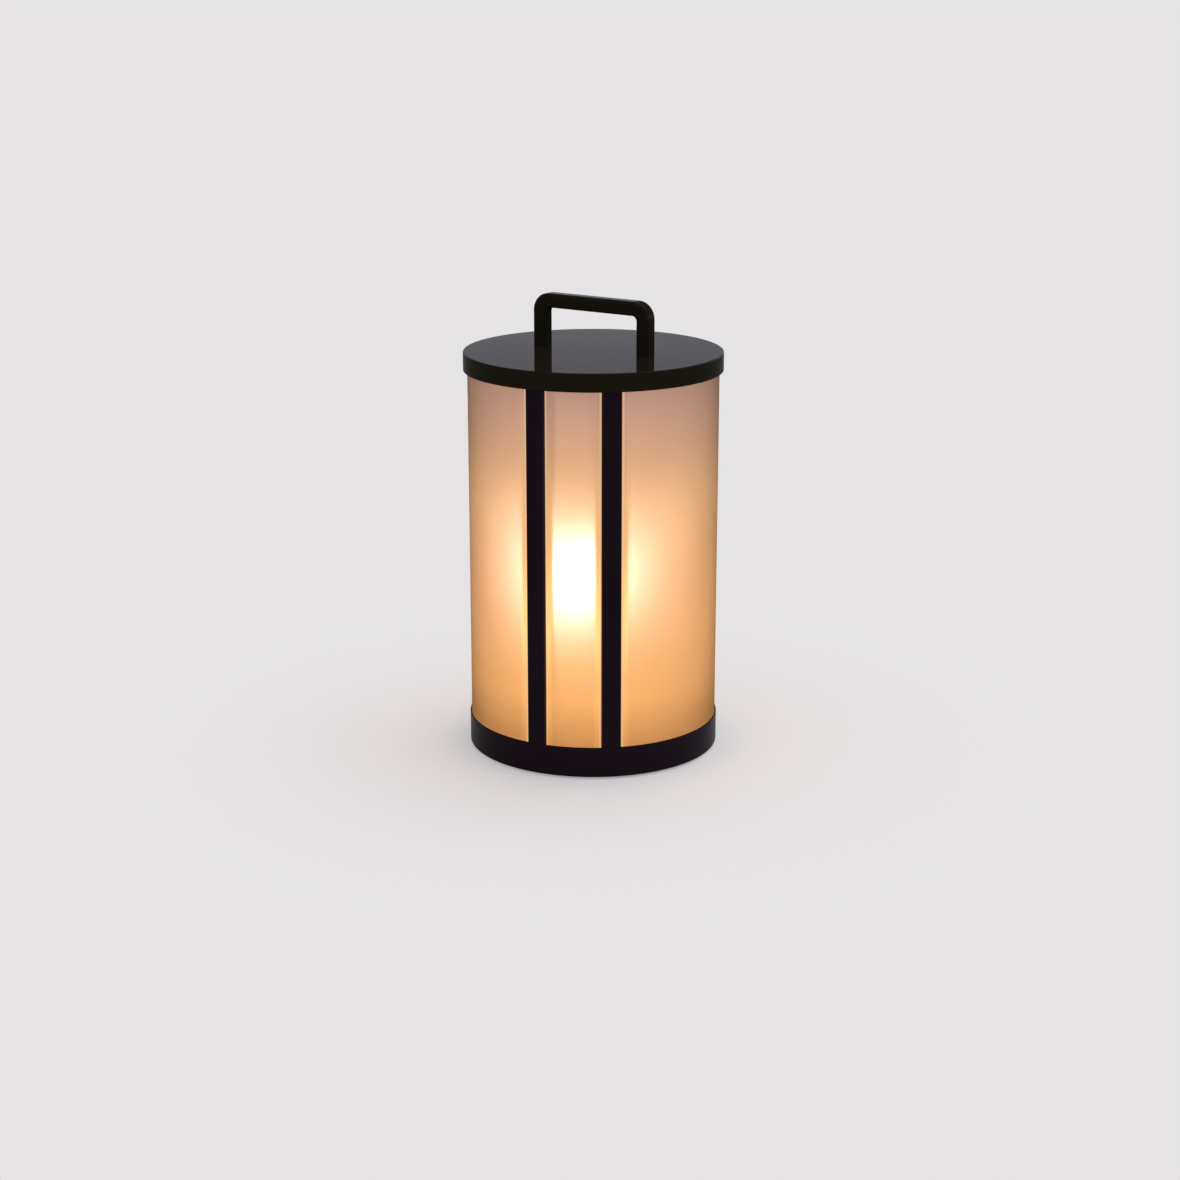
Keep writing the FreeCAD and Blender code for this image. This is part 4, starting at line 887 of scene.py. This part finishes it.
@dataclass
class PowerButton:
    """The power button with its dished face."""

    angle: float = math.radians(28.0)
    height: float = 11.25 * MM
    sides: int = 72
    rings: tuple[Ring, ...] = (
        (1.7, 88.092), (1.7, 93.492), (6.3, 93.492), (6.3, 94.992), (5.0, 94.992), (5.0, 98.15), (4.9, 98.45),
        (4.68, 98.68), (4.35, 98.8), (4.0, 98.78), (3.6, 98.62), (2.4, 98.44), (0.8, 98.36),
    )

    def make(self) -> None:
        """Makes the button."""
        button = Lathe("dished_button", self.rings, self.sides).make()
        button.rotation_euler = (-math.pi / 2, 0.0, 0.0)
        settle(button)
        button.rotation_euler = (0.0, 0.0, self.angle)
        button.location = (0.0, 0.0, self.height)
        settle(button)
        stand_in(button, BUTTON_PLASTIC, Body.BUTTON, "power_button")


@dataclass
class Nodes:
    """The part's own nodes, also those that a new piece shows in place of."""

    def make(self) -> None:
        """Dresses them all."""
        for node, finish in DRESS.items():
            dress(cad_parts[node], finish)
            LOG.info("dressed %s", node)


@dataclass(frozen=True)
class Softbox:
    """A square light beside the lamp, that the camera doesn't see."""

    name: str
    place: Sequence[float]
    size: float
    power: float

    def hang(self, aim: Vector) -> None:
        """Adds the light, turned to the lamp.

        Args:
            aim: What it shines on.
        """
        place = Vector(self.place)
        bpy.ops.object.light_add(type="AREA", location=place)
        box = bpy.context.object
        box.name = self.name
        box.data.size = self.size
        box.data.energy = self.power
        box.rotation_euler = (place - aim).to_track_quat("Z", "Y").to_euler()
        box.visible_camera = False


@dataclass
class Studio:
    """The pale floor, the backdrop and the soft lights."""

    pale: Colour = (0.79, 0.772, 0.78)
    upper: Colour = (0.11, 0.102, 0.205)
    in_gloss: float = 0.18
    light: Colour = (1.0, 0.99, 1.0)
    ambient: float = 0.6
    rise: Ring = (0.02, 0.3)
    floor_size: float = 30.0
    floor_drop: float = 0.2 * MM
    fade: Ring = (0.1, 0.36)
    fade_share: Ring = (0.4, 1.0)
    sun_place: Sequence[float] = (0.6, 0.5, 2.0)
    sun_from: Sequence[float] = (0.35, 0.25, 1.0)
    sun_power: float = 1.15
    sun_angle: float = math.radians(70.0)
    aim: Sequence[float] = (0.0, 0.0, 0.15)
    boxes: tuple[Softbox, ...] = (
        Softbox("right softbox", (1.7, -0.25, 0.9), 0.9, 2.0),
        Softbox("left softbox", (-1.5, -1.5, 1.3), 1.2, 3.0),
    )

    @staticmethod
    def seen(board: Board) -> bpy.types.NodeSocket:
        """Tells whether a ray looks at the background, straight or through gloss or glass.

        Args:
            board: The nodes of the world or of the floor.

        Returns:
            1 where it does.
        """
        path = board.add("LightPath", {}).outputs
        straight = board.maths("MAXIMUM", path["Is Camera Ray"], path["Is Glossy Ray"])
        return board.maths("MAXIMUM", straight, path["Is Transmission Ray"])

    def backdrop(self) -> None:
        """Makes the world: even light, a pale backdrop, and a darker sky in what gloss mirrors."""
        world = bpy.data.worlds.new("studio")
        world.use_nodes = True
        bpy.context.scene.world = world
        board = Board(world.node_tree)
        direction = board.add("TexCoord", {}).outputs["Generated"]
        _, _, up = board.add("SeparateXYZ", {"Vector": direction}).outputs
        glossy = board.add("LightPath", {}).outputs["Is Glossy Ray"]
        rise = board.maths("MULTIPLY", glossy, board.span(up, self.rise, UNIT))
        view = board.mix(rise, opaque(self.pale), opaque(self.upper))
        light = board.add("Background", {"Color": opaque(self.light), "Strength": self.ambient})
        backdrop = board.add("Background", {"Color": view, "Strength": 1.0})
        board.finish(board.join(self.seen(board), light, backdrop), "OutputWorld")

    def floor(self) -> None:
        """Makes the floor, which keeps the shadow near the lamp and runs into the backdrop."""
        deselect()
        bpy.ops.mesh.primitive_plane_add(size=self.floor_size, location=(0.0, 0.0, -self.floor_drop))
        floor = bpy.context.object
        floor.name = "floor"
        board, material = Board.for_material("pale floor")
        place = board.place()
        cloth = board.add("BsdfDiffuse", {"Color": opaque(self.pale)})
        even = board.add("Emission", {"Color": opaque(self.pale), "Strength": 1.0})
        dim = board.add("Emission", {"Color": opaque(self.pale), "Strength": self.in_gloss})
        glossy = board.add("LightPath", {}).outputs["Is Glossy Ray"]
        away = board.span(board.add("VectorMath", {0: place}, operation="LENGTH").outputs["Value"],
                          self.fade, self.fade_share)
        faded = board.maths("MULTIPLY", away, self.seen(board))
        board.finish(board.join(faded, cloth, board.join(glossy, even, dim)))
        floor.data.materials.append(material)

    def lamps(self) -> None:
        """Hangs a broad overhead light and two softboxes."""
        deselect()
        bpy.ops.object.light_add(type="SUN", location=self.sun_place)
        sun = bpy.context.object
        sun.data.energy = self.sun_power
        sun.data.angle = self.sun_angle
        sun.rotation_euler = Vector(self.sun_from).to_track_quat("Z", "Y").to_euler()
        for box in self.boxes:
            box.hang(Vector(self.aim))

    def make(self) -> None:
        """Makes the whole studio."""
        self.backdrop()
        self.floor()
        self.lamps()
        bpy.context.scene.view_settings.view_transform = "Standard"
        LOG.info("studio ready")


@dataclass
class PhotoCamera:
    """The camera at the photograph's place."""

    azimuth: float = math.radians(9.1)
    elevation: float = math.radians(14.94)
    distance: float = 1.799
    target: Sequence[float] = (0.0, 0.0, 0.1515)
    focal: float = 2291.0
    image: float = 1180.0
    sensor: float = 36.0
    offset: Ring = (3.3, 36.0)

    def make(self) -> None:
        """Adds the camera, aimed so that the target falls a little off the middle."""
        sin_a, cos_a = math.sin(self.azimuth), math.cos(self.azimuth)
        sin_e, cos_e = math.sin(self.elevation), math.cos(self.elevation)
        back = Vector((sin_a * cos_e, -cos_a * cos_e, sin_e))
        right = Vector((cos_a, sin_a, 0.0))
        up = Vector((-sin_a * sin_e, cos_a * sin_e, cos_e))
        aim = back * self.focal + right * self.offset[0] + up * self.offset[1]
        deselect()
        bpy.ops.object.camera_add(location=Vector(self.target) + back * self.distance)
        camera = bpy.context.object
        camera.rotation_euler = aim.to_track_quat("Z", "Y").to_euler()
        camera.data.sensor_width = self.sensor
        camera.data.lens = self.sensor * self.focal / self.image
        bpy.context.scene.camera = camera
        LOG.info("camera set")


def main() -> None:
    """Builds the lamp's looks in order, then its studio and its camera."""
    logging.basicConfig(level=logging.INFO, format="%(message)s")
    for assembly in (Nodes(), Cage(), Lid(), Feet(), BulbCap(), PowerButton(), Studio(), PhotoCamera()):
        assembly.make()
        LOG.info("%s done", type(assembly).__name__)


if __name__ == "__main__":
    main()
